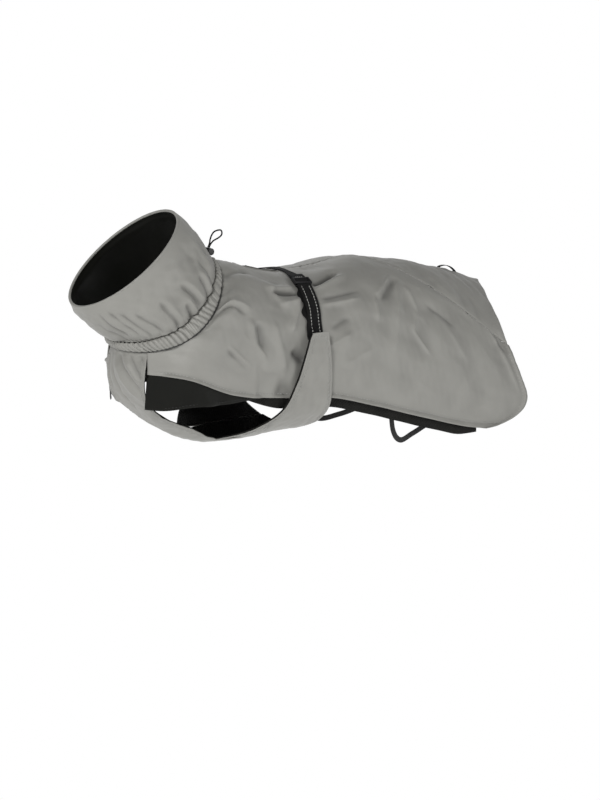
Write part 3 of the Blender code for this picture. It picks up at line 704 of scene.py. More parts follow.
# side panels, rump panel
shellLook = {
    "thick": 0.0012,
    "seamGap": 0.0010,  # share of the girth left open beside each seam, about a third of a millimetre
    "ripple": 0.0010,
    "crumple": 0.0011,
    "quiet": {-1: 1.22, 1: 0.75},  # strength of the folds on the left and on the right
    "seed": {-1: 11, 1: 61},
    "seamSink": 0.0016,
    "seamWidth": 0.0016,
    "seamInset": 0.0034,  # thread row from the rump seam
    "pucker": 0.0007,
    "puckerWidth": 0.006,
    "neckGathers": 46,
    "neckGatherRise": 0.0017,
    "hemWidth": 0.009,
    "hemRise": 0.0006,
    "hemStep": 0.0016,
    "hemFlare": 0.0028,
    "flareReach": 0.0065,
    "grooveInset": 0.0022,
    "grooveWidth": 0.0013,
    "grooveDepth": 0.0007,
    "strapPress": 0.0012,
    "strapReach": 0.0215,
    "valleyDepth": 0.009,  # a valley this deep is fully dark
    "shadeDepth": 0.0028,  # a dip this far below its surroundings is as dark as a dip gets
    "shade": 0.33,
    # folds, in millimetres: x and the way down from the spine at both ends, width, rise
    "folds": [
        # pulled in by the strap, in front of it and behind it
        (-16, 108, -72, 104, 5.5, -8.8),
        (-22, 94, -82, 94, 11, 5.6),
        (-14, 122, -66, 134, 11, 6.6),
        (-21, 112, -40, 158, 6, 3.4),
        (-38, 150, -56, 192, 6, 2.6),
        (-78, 71, -66, 123, 8, 2.2),
        (14, 99, 82, 73, 7, 5),
        (14, 88, 74, 60, 6.5, -7.4),
        (14, 126, 90, 118, 6, -3),
        (10, 140, 88, 134, 6.5, 3),
        # flank
        (168, 84, 117, 134, 6.5, 4.6),
        (178, 92, 130, 140, 8, -4.2),
        (117, 134, 112, 178, 6, 3),
        (177, 96, 158, 156, 9, 3),
        (160, 151, 130, 235, 10, 2.8),
        (189, 108, 200, 156, 7, 2.6),
        (200, 153, 180, 190, 6, 2.4),
        (181, 186, 206, 218, 5, 2.6),
        (222, 140, 272, 167, 9, -3),
        (236, 150, 286, 218, 14, 2.4),
        (300, 110, 346, 150, 4.5, 2.2),
        (344, 148, 362, 178, 5.5, 3.4),
        (352, 150, 374, 190, 6, -3),
        (360, 172, 394, 258, 5.5, 2.6),
        (36, 258, 92, 224, 7, 3),
        (8, 226, 54, 200, 6, 3),
        (20, 192, 56, 172, 7, -2.6),
        # shoulder and neck
        (-133, 172, -129, 218, 8, 3.6),
        (-129, 214, -112, 243, 5, 2.8),
        (-120, 176, -116, 226, 8, -3.8),
        (-180, 236, -147, 264, 5, -3.4),
        (-178, 228, -140, 256, 6, 2.6),
        (-155, 95, -161, 160, 8, 1.8),
        (-188, 134, -142, 162, 4.5, -3),
        (-188, 124, -130, 150, 8, 3.4),
        (-90, 170, -76, 262, 12, 3),
        (-60, 230, -34, 252, 9, -6),
        (-150, 60, -90, 50, 12, -3),
    ],
    "tuck": [(-126, 300, -60, 296, 30, -8), (-120, 262, -70, 256, 20, 3.6)],
}


def hemBand(distance, wavy):
    # a turned-up double edge with a stitch groove
    look = shellLook
    band = ease((look["hemWidth"] - distance) / look["hemStep"])
    groove = bell(distance - look["hemWidth"] + look["grooveInset"], look["grooveWidth"])
    return look["hemRise"] * band * wavy - look["grooveDepth"] * groove


def shellHeight(u, v, side):
    # folds, ripples, neck gathers, sunk seams and a rolled hem, as one height over the plain surface
    look = shellLook
    girth, reach = coatShape["girth"], coatShape["reach"]
    x = halfShell(u, v)[..., 0]
    down = np.minimum(v, 1.0) * girth
    seed = look["seed"][side]
    fromSpine = down
    fromHem = (1 - v) * girth
    fromNeck = (u - 0.002) * reach
    fromSeam = np.abs(v - rumpSeam(u)) * girth + 0.06 * (u < coatShape["rumpStart"] - 0.01)
    fromRear = (rearReach(np.minimum(v, 1.0)) - u) * coatShape["rearScale"]
    calm = ease(fromHem / 0.03) * ease(fromRear / 0.03)
    calm = calm * ease(fromSeam / 0.02) * ease(fromSpine / 0.02)
    height = look["quiet"][side] * foldSum(x, down, look["folds"]) * (0.35 + 0.65 * calm)
    height += foldSum(x, down, look["tuck"])
    height += look["ripple"] * waves(x, down, seed, 0.075) * (0.3 + 0.7 * calm)
    # facets: sharp creases where smooth noise changes sign
    creases = 1 - np.abs(waves(x + 0.3 * down, down, seed + 5, 0.16, 9))
    creases = creases + 0.4 * (1 - np.abs(waves(x - 0.5 * down, down, seed + 7, 0.08, 9)))
    height += look["crumple"] * (creases + 0.12 * waves(x, down, seed + 9, 0.020)) * calm
    # gathers that run back from the neck seam
    turn = v / coatShape["neckShare"] * coatShape["bibAngle"]
    onNeck = ease((1.02 * coatShape["neckShare"] - v) / 0.05)
    reachOut = 0.010 + 0.012 * (0.5 + 0.5 * waves(turn, 0.0, seed + 20, 0.35, 6))
    gathered = gathers(turn, look["neckGathers"], seed + 3) * np.exp(-fromNeck / reachOut)
    height += look["neckGatherRise"] * onNeck * gathered
    # seams: the edges roll down, and the thread puckers the cloth beside them
    for distance, start, sunk in ((fromSeam, 31, 1.0), (fromSpine, 41, 0.35)):
        ripple = waves(x, 0.0, seed + start, 0.011, 9)
        height -= sunk * look["seamSink"] * np.exp(-distance / look["seamWidth"])
        height += look["pucker"] * ripple * np.exp(-distance / look["puckerWidth"])
    height -= 0.0010 * np.exp(-fromNeck / 0.0022)
    # the hem is flared at its very edge
    along = waves(x + down, 0.0, seed + 51, 0.016, 9)
    for distance in (fromHem, fromRear):
        height += hemBand(distance, 1 + 0.5 * along)
        height += look["hemFlare"] * ease(1 - distance / look["flareReach"]) * ease((u - 0.02) / 0.06)
    # the strap presses the cloth flat over the back
    onStrap = np.exp(-(((x - strapX(v)) / look["strapReach"]) ** 4)) * ease((0.95 - v) / 0.10)
    pressed = look["strapPress"] * ease((v - 0.04) / 0.20) - 0.0004
    height = height * (1 - onStrap) - pressed * onStrap
    # behind the shoulder flap there is no room to sink
    overFlap = ease((v - 0.76) / 0.05) * ease((0.38 - u) / 0.03)
    return height * (1 - overFlap) + np.maximum(height, -0.0012) * overFlap


def liningRoom(u, v, side):
    # how far the lining gives way where a fold of the shell sinks in
    return np.minimum(shellHeight(u, v, side) + 0.0022, 0.0)


def shadeOf(height, down, along):
    # painted shade: folds are painted darker where the height lies below its surroundings
    blurred = height.copy()
    for axis, count in ((0, down), (1, along)):
        kernel = np.ones(count) / count
        margins = [(count // 2, count // 2) if k == axis else (0, 0) for k in (0, 1)]
        padded = np.pad(blurred, margins, mode="edge")
        blurred = np.apply_along_axis(np.convolve, axis, padded, kernel, mode="valid")
    return np.clip((blurred - height) / shellLook["shadeDepth"], 0, 1) * shellLook["shade"]


def rumpSteps(count):
    # stations from the tip of the rump panel to the rear, closer together at the tip
    start = coatShape["rumpStart"]
    return start + (1 - start) * np.linspace(0, 1, count) ** 1.4


def addSidePanel(name, side):
    steps = np.concatenate([np.linspace(0, 1, 190)[:-1] * coatShape["rumpStart"], rumpSteps(100)])
    columns = np.concatenate([np.linspace(0, 0.94, 126)[:-1], np.linspace(0.94, 1, 16)])
    gap = shellLook["seamGap"]
    u, v = panelGrid(
        steps, columns, 1.0, upper=lambda u: rumpSeam(u) + gap,
        lower=lambda u: np.ones_like(u), start=lambda v: 0.002 + 0 * v,
    )
    height = shellHeight(u, v, side)
    valleys = [fold for fold in shellLook["folds"] if fold[-1] < 0]
    x, down = halfShell(u, v)[..., 0], v * coatShape["girth"]
    # painted shade along the valleys of the listed folds, on top of the painted shade of the dips
    deep = np.clip(-foldSum(x, down, valleys) / shellLook["valleyDepth"], 0, 1) ** 1.3
    shade = shadeOf(height, 23, 15) + 0.75 * deep
    thick, flip = shellLook["thick"], mirrored(side)
    return clothPiece(name, halfShell, u, v, height, thick, "greyCloth", flip, shade)


def addRumpPanel():
    look = shellLook
    u, b = grid(rumpSteps(120)[1:], np.linspace(-1, 1, 161))
    v = np.abs(b) * np.maximum(rumpSeam(u) - look["seamGap"], 0.001)
    flip = stack(1.0, np.where(b < 0, -1.0, 1.0), 1.0)
    x, y, _ = np.moveaxis(halfShell(u, v) * flip, -1, 0)
    fromSeam = (rumpSeam(u) - v) * coatShape["girth"]
    fromRear = (1 - u) * coatShape["rearScale"]
    height = 0.0011 * waves(x, y, 71, 0.07) * ease(fromSeam / 0.02)
    height += 0.0004 * waves(x, y, 72, 0.022) * ease(fromSeam / 0.015)
    height -= look["seamSink"] * np.exp(-fromSeam / look["seamWidth"])
    height += 0.0006 * waves(x, 0.0, 73, 0.011, 9) * np.exp(-fromSeam / look["puckerWidth"])
    height += hemBand(fromRear, 1.0)
    shade = shadeOf(height, 15, 15)
    return clothPiece("rumpPanel", halfShell, u, v, height, look["thick"], "greyCloth", flip, shade)


sheets = []  # each cloth sheet with its flat size, its flat area and the small pieces sewn to it
threadLift = 0.0001  # of a stitch row over the cloth


def place(obj, slot, *nodes, body="coat"):
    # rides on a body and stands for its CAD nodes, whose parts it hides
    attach(obj, body)
    if nodes:
        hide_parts(*nodes)
    return obj


def lineOn(surface, u, v, height, side=1):
    # a line of points on a surface at a height, and its outward directions
    points = inward(surface, u, v, -height) * mirrored(side)
    return points, outwardNormal(surface, np.asarray(u, float), np.asarray(v, float)) * mirrored(side)


def addShellStitching(word, side):
    # one row around the hem and the rear edge, one below the rump seam
    girth = coatShape["girth"]
    inset = (shellLook["hemWidth"] - shellLook["grooveInset"]) / girth
    v = np.concatenate([np.full(200, 1 - inset), np.linspace(1 - inset, 0.60, 80)[1:]])
    reach = rearReach(v) - inset * girth / coatShape["rearScale"]
    u = np.concatenate([np.linspace(0.03, 1, 200) * reach[:200], reach[200:]])
    hem, out = lineOn(halfShell, u, v, shellHeight(u, v, side) + threadLift, side)
    rows = [stitchRow(f"hemStitches{word}", hem, out, greyThread)]
    u = np.linspace(coatShape["rumpStart"] + 0.01, 0.985, 120)
    v = rumpSeam(u) + shellLook["seamInset"] / girth
    seam, out = lineOn(halfShell, u, v, shellHeight(u, v, side) + threadLift, side)
    rows.append(stitchRow(f"rumpSeamStitches{word}", seam, out, greyThread))
    return rows


for word, side in sides:
    panel = addSidePanel(f"sidePanel{word}", side)
    place(panel, "reflective_grey_cloth", f"side_panel_{word.lower()}")
    sheets.append((panel, (0.74, 0.38), 0.153, addShellStitching(word, side)))
rumpPanel = place(addRumpPanel(), "reflective_grey_cloth", "rump_panel")
sheets.append((rumpPanel, (0.24, 0.34), 0.048, []))
print("coat: shell ready")


# lining and shoulder flaps
liningLook = {
    "depth": 0.0052,
    "thick": 0.0010,
    "end": 0.988,
    "sway": 0.0011,
    "seed": {-1: 81, 1: 91},
    "flapDepth": 0.0028,
    "flapThick": 0.0009,
    "flapEnd": 0.352,
    "flapTop": 0.80,
    "flapSeed": {-1: 101, 1: 111},
}


def liningTop(u):
    return 0.010 + 0.02 * ease((u - 0.85) / 0.15)


def liningHem(u):
    # the lining hangs below the shell's hem, most of all behind the shoulder
    return 1.004 + 0.013 * ease((u - 0.26) / 0.12) - 0.016 * ease((u - 0.82) / 0.12)


def flapHem(u):
    return 1.003 + 0.052 * (1 - ease((u - 0.04) / 0.30))


def panelStart(v):
    # clear of the neck piping, closer in along the bib
    return 0.028 - 0.022 * ease((v - 0.80) / 0.08)


def flapStart(v):
    # below the hem the flap reaches forward to the bib
    return panelStart(v) - 0.007 * ease((v - 1.0) / 0.01)


def addLining(name, side):
    columns = np.concatenate([np.linspace(0, 0.93, 60)[:-1], np.linspace(0.93, 1, 22)])
    look = liningLook
    u, v = panelGrid(np.linspace(0, 1, 220), columns, look["end"], liningTop, liningHem, panelStart)
    x = halfShell(u, v)[..., 0]
    below = np.maximum(v - 1, 0.0)
    room = liningRoom(u, np.minimum(v, 0.995), side) * ease((0.99 - v) / 0.03)
    sway = look["sway"] * waves(x, 0.0, look["seed"][side], 0.05, 10) * ease(below / 0.006)
    edge = 0.0004 * bell(liningHem(u) - v, 0.0022)
    return clothPiece(
        name, halfShell, u, v, room + sway + edge, look["thick"] + edge, "liningKnit",
        mirrored(side), depth=look["depth"],
    )


def addFlap(name, side):
    look = liningLook
    u, v = panelGrid(
        np.linspace(0, 1, 110), np.linspace(0, 1, 90), look["flapEnd"],
        lambda u: look["flapTop"] + 0 * u, flapHem, flapStart,
    )
    x = halfShell(u, v)[..., 0]
    below = np.maximum(v - 1, 0.0)
    free = ease(below / 0.025)
    height = 0.0012 * waves(x, 0.4 * below, look["flapSeed"][side], 0.045, 10) * free
    # one soft ridge and one hollow, then the turned edge
    height += 0.0035 * bell(x + 0.215 - 0.4 * below, 0.014) * free
    height -= 0.0020 * bell(x + 0.160, 0.018) * free
    height += 0.0005 * bell(flapHem(u) - v - 0.005, 0.004) * ease(below / 0.01)
    return clothPiece(
        name, halfShell, u, v, height, look["flapThick"], "flapCloth",
        mirrored(side), shadeOf(height, 15, 15), look["flapDepth"],
    )


for word, side in sides:
    lining = place(addLining(f"lining{word}", side), "black_lining_cloth", f"lining_{word.lower()}")
    sheets.append((lining, (0.74, 0.40), 0.168, []))
    flap = addFlap(f"shoulderFlap{word}", side)
    place(flap, "black_lining_cloth", f"shoulder_flap_{word.lower()}")
    u = np.linspace(0.02, 0.33, 90)
    line, out = lineOn(halfShell, u, flapHem(u) - 0.0045, np.full_like(u, -0.0024), side)
    rows = [stitchRow(f"flapStitches{word}", line, out, blackThread)]
    sheets.append((flap, (0.20, 0.11), 0.016, rows))
print("coat: lining ready")


# neck channel and snood
snoodLook = {
    "thick": 0.0012,
    "channelEnd": 0.17,
    "overhang": 0.0026,  # how far the blouse of the snood sinks over the channel
    "blouse": 0.0062,
    "gather": 0.0034,
    "pinchGathers": 76,
    "footGathers": 46,
    "fine": 0.0026,  # rise of the fine gathers right at the foot
    "soft": 0.0013,  # rise of the broad waves
    "channelStart": 0.008,
    "channelThick": 0.0010,
    "puff": 0.0026,
    "channelPleats": 70,
    "channelPleatRise": 0.0027,
    "liningDepth": 0.0064,
    "liningThick": 0.0010,
    "opening": 0.072,  # half the gap at the nape, in radians
    "radius": 0.085,  # mean radius, which turns an angle into metres
    "length": 0.107,  # from the neck seam to the rim
    # deep pleats on the left: turn and s at both ends, width, rise
    "pleats": [
        (5.149, 0.477, 5.035, 0.176, 0.0045, -0.0052),
        (5.230, 0.520, 5.140, 0.200, 0.0080, 0.0040),
        (4.843, 0.568, 4.887, 0.231, 0.0050, -0.0056),
        (4.930, 0.560, 4.960, 0.220, 0.0085, 0.0046),
        (4.712, 0.392, 4.651, 0.196, 0.0040, -0.0052),
        (4.780, 0.460, 4.760, 0.200, 0.0075, 0.0036),
        (4.451, 0.598, 4.416, 0.211, 0.0045, -0.0042),
        (4.540, 0.580, 4.520, 0.210, 0.0085, 0.0036),
        (4.058, 0.613, 4.206, 0.246, 0.0045, -0.0038),
        (4.200, 0.640, 4.320, 0.240, 0.0090, 0.0034),
        (3.866, 0.740, 3.990, 0.260, 0.0040, -0.0032),
        (3.735, 0.839, 3.850, 0.300, 0.0045, -0.0036),
        (3.780, 0.640, 3.930, 0.230, 0.0070, 0.0030),
        (3.578, 0.829, 3.620, 0.300, 0.0045, -0.0034),
        (3.640, 0.700, 3.730, 0.240, 0.0060, 0.0028),
        (3.420, 0.620, 3.470, 0.220, 0.0050, -0.0026),
        (5.340, 0.560, 5.250, 0.200, 0.0055, -0.0040),
        (5.560, 0.820, 5.420, 0.260, 0.0120, 0.0034),
        (5.690, 0.840, 5.640, 0.300, 0.0090, -0.0026),
        (5.219, 0.860, 5.300, 0.560, 0.0110, -0.0020),
        (5.000, 0.780, 4.820, 0.560, 0.0160, 0.0024),
    ],
}


def fromNape(turn):
    return math.pi - np.abs(np.mod(turn, 2 * math.pi) - math.pi)


def roundWaves(turn, along, seed, size):
    # waves on the snood that meet themselves after a whole turn
    return waves(np.cos(turn) * 0.09, along + np.sin(turn) * 0.09, seed, size)


def snoodShift(turn, s):
    # height over the plain tube and slip towards the neck: a blouse that is gathered at its foot
    look = snoodLook
    aside = fromNape(turn)
    strength = 0.06 + 0.94 * ease((aside - 0.15) / 1.25)
    strength = strength * (0.18 + 0.82 * ease((2.75 - aside) / 0.9))
    rise = ease((s - look["channelEnd"]) / 0.075)
    height = strength * look["blouse"] * rise * (1 - ease((s - 0.27) / 0.40))
    slip = strength * look["overhang"] * ease((s - look["channelEnd"]) / 0.05)
    slip = slip * (1 - ease((s - 0.23) / 0.26))
    around, along = turn * look["radius"], s * look["length"]
    left = ease((np.mod(turn, 2 * math.pi) - math.pi) / 0.15)
    radius, length = look["radius"], look["length"]
    pleats = np.array(look["pleats"]) * (radius, length, radius, length, 1, 1)
    # on the right the same pleats are mirrored, wider and flatter
    wholeTurn = 2 * math.pi * radius
    mirroredPleats = pleats * (-1, 1, -1, 1, 1.2, 0.8) + (wholeTurn, 0, wholeTurn, 0, 0, 0)
    height += foldSum(around, along, pleats, 1) * left
    height += foldSum(around, along, mirroredPleats, 1) * (1 - left)
    footReach = 0.095 + 0.04 * np.sin(3 * turn + 1) + 0.02 * np.sin(8 * turn)
    foot = np.exp(-(s - look["channelEnd"]) / footReach)
    lean = turn + 0.35 * (s - look["channelEnd"]) * np.sign(math.pi - turn)
    gathered = gathers(lean, look["footGathers"], 5)
    height += look["gather"] * gathered * foot * rise * (0.35 + 0.65 * strength)
    pinchReach = 0.030 + 0.035 * ease(0.5 + 0.4 * waves(turn, 0.0, 9, 0.5, 6))
    pinch = np.exp(-np.maximum(s - look["channelEnd"], 0) / pinchReach)
    lean = turn + 0.2 * (s - look["channelEnd"])
    height += look["fine"] * gathers(lean, look["pinchGathers"], 12) * pinch
    height += look["soft"] * roundWaves(turn, along, 7, 0.07)
    height += 0.0004 * waves(around, along, 8, 0.02) * ease((0.99 - s) / 0.06) * ease((s - 0.2) / 0.1)
    height = height * ease((s - 0.162) / 0.016) - 0.0010 * ease((0.176 - s) / 0.012)
    rim = (0.99 - s) * look["length"]
    height = height * (0.25 + 0.75 * ease(rim / 0.03))
    return height, slip


def wholeTurns(count):
    return np.arange(count) / count * 2 * math.pi


def upNeck(turn, s):
    # direction along the neck tube, from the seam to the rim
    return unit(neckTube(turn, s + 1e-4) - neckTube(turn, s - 1e-4))


def addSnoodShell():
    columns = np.concatenate([np.linspace(0.160, 0.42, 78)[:-1], np.linspace(0.42, 0.996, 64)])
    s, turn = grid(columns, wholeTurns(520))
    height, slip = snoodShift(turn, s)
    up = upNeck(turn, s)
    outer = inward(neckTube, turn, s, -height) - up * slip[..., None]
    inner = inward(neckTube, turn, s, snoodLook["thick"] - height) - up * slip[..., None]
    along, around = clothCoordinates(outer)
    shell = clothSheet("snoodShell", outer, inner, (around, along), wrap=True)
    addShade(shell, 1.9 * shadeOf(height, 9, 13))
    shell.data.materials.append(cloths["greyCloth"])
    return shell


def addSnoodLining():
    s, turn = grid(np.linspace(0.03, 0.994, 90), wholeTurns(260))
    around, along = turn * snoodLook["radius"], s * snoodLook["length"]
    depth = snoodLook["liningDepth"] - 0.0036 * ease((s - 0.90) / 0.09)
    depth = depth + 0.0008 * roundWaves(turn, along, 17, 0.06) * ease((0.95 - s) / 0.1)
    depth = depth + 0.0010 * np.abs(gathers(turn, 40, 18)) * np.exp(-s / 0.2)
    outer = inward(neckTube, turn, s, depth)
    inner = inward(neckTube, turn, s, depth + snoodLook["liningThick"])
    lining = clothSheet("snoodLining", outer, inner, (around, along), wrap=True)
    addShade(lining, 0 * s)
    lining.data.materials.append(cloths["flapCloth"])
    return lining


def ringPath(s, depth, count):
    # closed path around the neck tube, with the directions along its surface and out of it
    turn = wholeTurns(count)
    s = np.full_like(turn, s)
    return inward(neckTube, turn, s, depth), upNeck(turn, s), outwardNormal(neckTube, turn, s)


def addRimRoll():
    # the shell's edge turned in over the lining
    centre, up, out = ringPath(1.002, 0.0019, 360)
    roll = sweep("snoodRim", centre, out, up, flatProfile(0.0042, 0.0030, 16, 0.75), closed=True)
    # the rim's finish is the grey cloth painted lighter: painted highlight
    roll.data.materials.append(cloths["litRimCloth"])
    return roll


def channelHeight(turn, s):
    # a puffed band with fine pleats that are deepest at its two seams
    look = snoodLook
    share = (s - look["channelStart"]) / (look["channelEnd"] - look["channelStart"])
    puff = 0.0022 + look["puff"] * np.sin(math.pi * np.clip(share, 0, 1)) ** 0.7
    edges = 0.55 + 0.45 * np.abs(2 * share - 1)
    lean = turn + (0.05 * share + 0.02 * np.sin(3 * share + 5 * turn)) * np.sign(turn - math.pi)
    pleats = look["channelPleatRise"] * gathers(lean, look["channelPleats"], 25) * edges
    pleats = pleats + 0.0008 * gathers(turn, 150, 26) * edges
    height = puff + pleats - 0.0016 * np.exp(-share / 0.05) - 0.0014 * np.exp(-(1 - share) / 0.05)
    # flat under the cord lock
    return 0.0012 + (height - 0.0012) * ease((fromNape(turn) - 0.10) / 0.14)


def addChannel():
    opening = snoodLook["opening"]
    around = np.linspace(opening, 2 * math.pi - opening, 900)
    thick = snoodLook["channelThick"]
    turn, s = grid(around, np.linspace(snoodLook["channelStart"], 0.168, 30))
    height = channelHeight(turn, s) - 0.0010 * ease((opening + 0.02 - fromNape(turn)) / 0.02)
    shade = 2.2 * shadeOf(height, 13, 3)
    return clothPiece("cordChannel", neckTube, turn, s, height, thick, "greyCloth", shade=shade)


def addPiping():
    centre, up, out = ringPath(0.004, -0.0006, 320)
    piping = sweep("neckPiping", centre, up, out, flatProfile(0.0022, 0.0022, 12, 1.0), closed=True)
    piping.data.materials.append(cloths["piping"])
    return piping


snoodShell = place(addSnoodShell(), "reflective_grey_cloth", "snood_shell")
snoodLining = place(addSnoodLining(), "black_lining_cloth", "snood_lining")
rimRoll = place(addRimRoll(), "reflective_grey_cloth", "snood_rim")
channel = place(addChannel(), "reflective_grey_cloth", "cord_channel")
place(addPiping(), "dark_piping", "neck_piping")
sheets.append((snoodShell, (0.60, 0.118), None, [rimRoll]))
sheets.append((snoodLining, (0.55, 0.121), None, []))
sheets.append((channel, (0.62, 0.023), None, []))
print("coat: snood ready")


# chest panel and belly wings
bibLook = {
    "half": 0.048,  # mean half width
    "length": 0.36,
    "wingRise": 0.205,  # length of a wing from the chest panel to the strap
    "gap": 0.0005,
    "liningThick": 0.0010,
    "hem": 0.0095,
    "hemRise": 0.0004,
    "hemStep": 0.0014,
    "rows": (0.0040, 0.0072),  # distances of the two stitch rows from the edge
    "rowDepth": 0.00035,
    "rowWidth": 0.0010,
    "seed": {-1: 131, 1: 141},
    # folds, in millimetres: across and along at both ends, width, rise
    "chestFolds": [
        (-14.8, 2.5, -49, 41, 4.2, -4),
        (-4, 6, -48, 49, 6, 3),
        (-33.9, 1.1, -50, 21.6, 4, -3.4),
        (8.8, 2.5, -46.5, 56.5, 4.6, -3.4),
        (17, 8, -30, 70, 8, 2.8),
        (22.4, 14.4, 0.8, 98.6, 6, -3),
        (35, 8, 33, 62, 6, -2.4),
        (-30, 100, -10, 160, 14, 1.6),
    ],
    "wingFolds": [
        (-97, 70, -86, 18, 6, -3.4),
        (-105, 64, -98, 14, 9, 2.4),
        (-64, 20, -20, 44, 12, 1.6),
        (-46, 100, -6, 80, 12, -1.2),
    ],
}


def doubleHem(distance):
    # a turned edge with two stitched grooves
    look = bibLook
    height = look["hemRise"] * ease((look["hem"] - distance) / look["hemStep"])
    for row in look["rows"]:
        height -= look["rowDepth"] * bell(distance - row, look["rowWidth"])
    return height


def chestHeight(across, s):
    look = bibLook
    x, y = across * look["half"], s * look["length"]
    fromEdge = (1 - np.abs(across)) * look["half"]
    height = foldSum(x, y, look["chestFolds"]) * (0.35 + 0.65 * ease(fromEdge / 0.014))
    height += 0.0007 * waves(x, y, 121, 0.06) + 0.0003 * waves(x, y, 122, 0.02)
    height = height * ease((s - 0.012) / 0.012) + doubleHem(fromEdge)
    return height + 0.0003 * waves(y, 0.0, 123, 0.012, 9) * np.exp(-fromEdge / 0.006)


def wingWidth(t):
    return halfWing(t, 1.0)[..., 0] - halfWing(t, 0.0)[..., 0]


def wingHeight(t, across, side):
    look = bibLook
    x, rise = halfWing(t, across)[..., 0], t * look["wingRise"]
    seed = look["seed"][side]
    fromEdge = np.minimum(across, 1 - across) * wingWidth(t)
    height = foldSum(x, rise, look["wingFolds"]) + 0.0006 * waves(x, rise, seed, 0.05)
    height += 0.0003 * waves(x, rise, seed + 1, 0.02)
    height = height * ease(fromEdge / 0.010) + 0.0012 * ease(fromEdge / 0.012)
    height += doubleHem(fromEdge) + doubleHem((1 - t) * look["wingRise"])
    return height - 0.0010 * np.exp(-rise / 0.003)


def addChest():
    s, across = grid(np.linspace(0.003, 1, 260), np.linspace(-1, 1, 91))
    height = chestHeight(across, s)
    thick, liningThick = shellLook["thick"], bibLook["liningThick"]
    shade = shadeOf(height, 15, 15)
    panel = clothPiece("chestPanel", chestFace, across, s, height, thick, "greyCloth", shade=shade)
    depth = thick + bibLook["gap"] - np.minimum(height, 0.0)
    lining = clothPiece(
        "chestLining", chestFace, across * 0.98, s, 0.0, liningThick, "liningKnit", depth=depth
    )
    return panel, lining


def addWing(word, side):
    t, across = grid(np.linspace(0, 1, 170), np.linspace(0, 1, 90))
    corner = np.clip((t - 0.955) / 0.045, 0, 1) * 0.985
    across = 0.5 + (across - 0.5) * (1 - 0.17 * (1 - np.sqrt(1 - corner**2)))
    height = wingHeight(t, across, side)
    thick, liningThick = shellLook["thick"], bibLook["liningThick"]
    flip, shade = mirrored(side), shadeOf(height, 13, 13)
    wing = clothPiece(f"bellyWing{word}", halfWing, t, across, height, thick, "greyCloth", flip, shade)
    # the lining is set in from the wing's top and rear and shows a little past its front edge
    t = 0.01 + 0.96 * t
    front = -0.0022 / wingWidth(t)
    across = front + (0.97 - front) * across
    height = wingHeight(t, np.clip(across, 0, 1), side)
    depth = thick + bibLook["gap"] - np.minimum(height, 0.0)
    lining = clothPiece(
        f"wingLining{word}", halfWing, t, across, 0.0, liningThick, "liningKnit", flip, depth=depth
    )
    return wing, lining


def wingRows(word, side):
    # double rows up both edges and below the top hem
    rows = []
    t = np.linspace(0.012, 0.985, 160)
    for number, inset in enumerate(bibLook["rows"]):
        for edge, name in ((0.0, "Front"), (1.0, "Rear")):
            slope = np.gradient(halfWing(t, edge)[..., 0], t * bibLook["wingRise"])
            share = inset * np.sqrt(1 + slope**2) / wingWidth(t)
            across = share if edge == 0 else 1 - share
            line, out = lineOn(halfWing, t, across, wingHeight(t, across, side) + threadLift, side)
            rows.append(stitchRow(f"wing{name}Stitches{word}{number + 1}", line, out, greyThread))
    across = np.linspace(0.16, 0.84, 30)
    for number, inset in enumerate(bibLook["rows"]):
        t = np.full_like(across, 1 - inset / bibLook["wingRise"])
        line, out = lineOn(halfWing, t, across, wingHeight(t, across, side) + threadLift, side)
        rows.append(stitchRow(f"wingTopStitches{word}{number + 1}", line, out, greyThread))
    return rows


def chestRows():
    rows = []
    for word, side in sides:
        for number, inset in enumerate(bibLook["rows"]):
            s = np.linspace(0.025, 0.60, 200)
            across = np.full_like(s, side * (1 - inset / bibLook["half"]))
            line, out = lineOn(chestFace, across, s, chestHeight(across, s) + threadLift)
            rows.append(stitchRow(f"chestStitches{word}{number + 1}", line, out, greyThread))
    return rows


chestPanel, chestLining = addChest()
place(chestPanel, "reflective_grey_cloth", "chest_panel")
place(chestLining, "black_lining_cloth", "chest_lining")
sheets.append((chestPanel, (0.108, 0.373), None, chestRows()))
sheets.append((chestLining, (0.102, 0.373), None, []))
for word, side in sides:
    wing, lining = addWing(word, side)
    place(wing, "reflective_grey_cloth", f"belly_wing_{word.lower()}")
    place(lining, "black_lining_cloth", f"wing_lining_{word.lower()}")
    sheets.append((wing, (0.17, 0.21), 0.019, wingRows(word, side)))
    sheets.append((lining, (0.17, 0.21), 0.0178, []))
print("coat: chest and belly ready")


# straps
strapLook = {
    "width": 0.025,
    "thick": 0.0015,
    "lift": 0.0046,
    "backLift": 0.0009,
    "sliderShare": 0.25,
    "buckleShare": 0.47,
    "plugLength": 0.0100,
    "socketLength": 0.0270,
    "stitchInset": 0.0068,
    "elasticWidth": 0.009,
    "elasticThick": 0.0014,
    "loopWidth": 0.007,
    "loopThick": 0.0010,
    "underWidth": 0.027,  # the softer band under the left webbing
    "underThick": 0.0009,
}
weltLook = {
    "frontX": -0.078,
    "rearX": -0.012,
    "share": 0.054,  # of the way from spine to hem
    "halfShare": 0.012,
    "thick": 0.0019,
    "slitWidth": 0.0026,
    "slitThick": 0.0010,
}


def stationAtX(v, x):
    # the station where the shell's curve of share v passes x
    u = np.linspace(0.15, 0.95, 400)
    v, x = np.broadcast_arrays(np.asarray(v, float), np.asarray(x, float))
    found = [np.interp(xi, halfShell(u, vi)[:, 0], u) for vi, xi in zip(v.ravel(), x.ravel())]
    return np.array(found).reshape(v.shape)


def shareStep(v, distance):
    # change of v that moves a distance along the strap
    u = stationAtX(v, strapX(v))
    return 0.01 * distance / np.linalg.norm(halfShell(u, v + 0.005) - halfShell(u, v - 0.005))


def straightened(centre, across, out):
    # directions squared up to the path
    along = unit(np.gradient(centre, axis=0))
    across = unit(across - (across * along).sum(axis=-1, keepdims=True) * along)
    turned = np.cross(along, across)
    return across, turned * np.sign((turned * out).sum(axis=-1, keepdims=True))


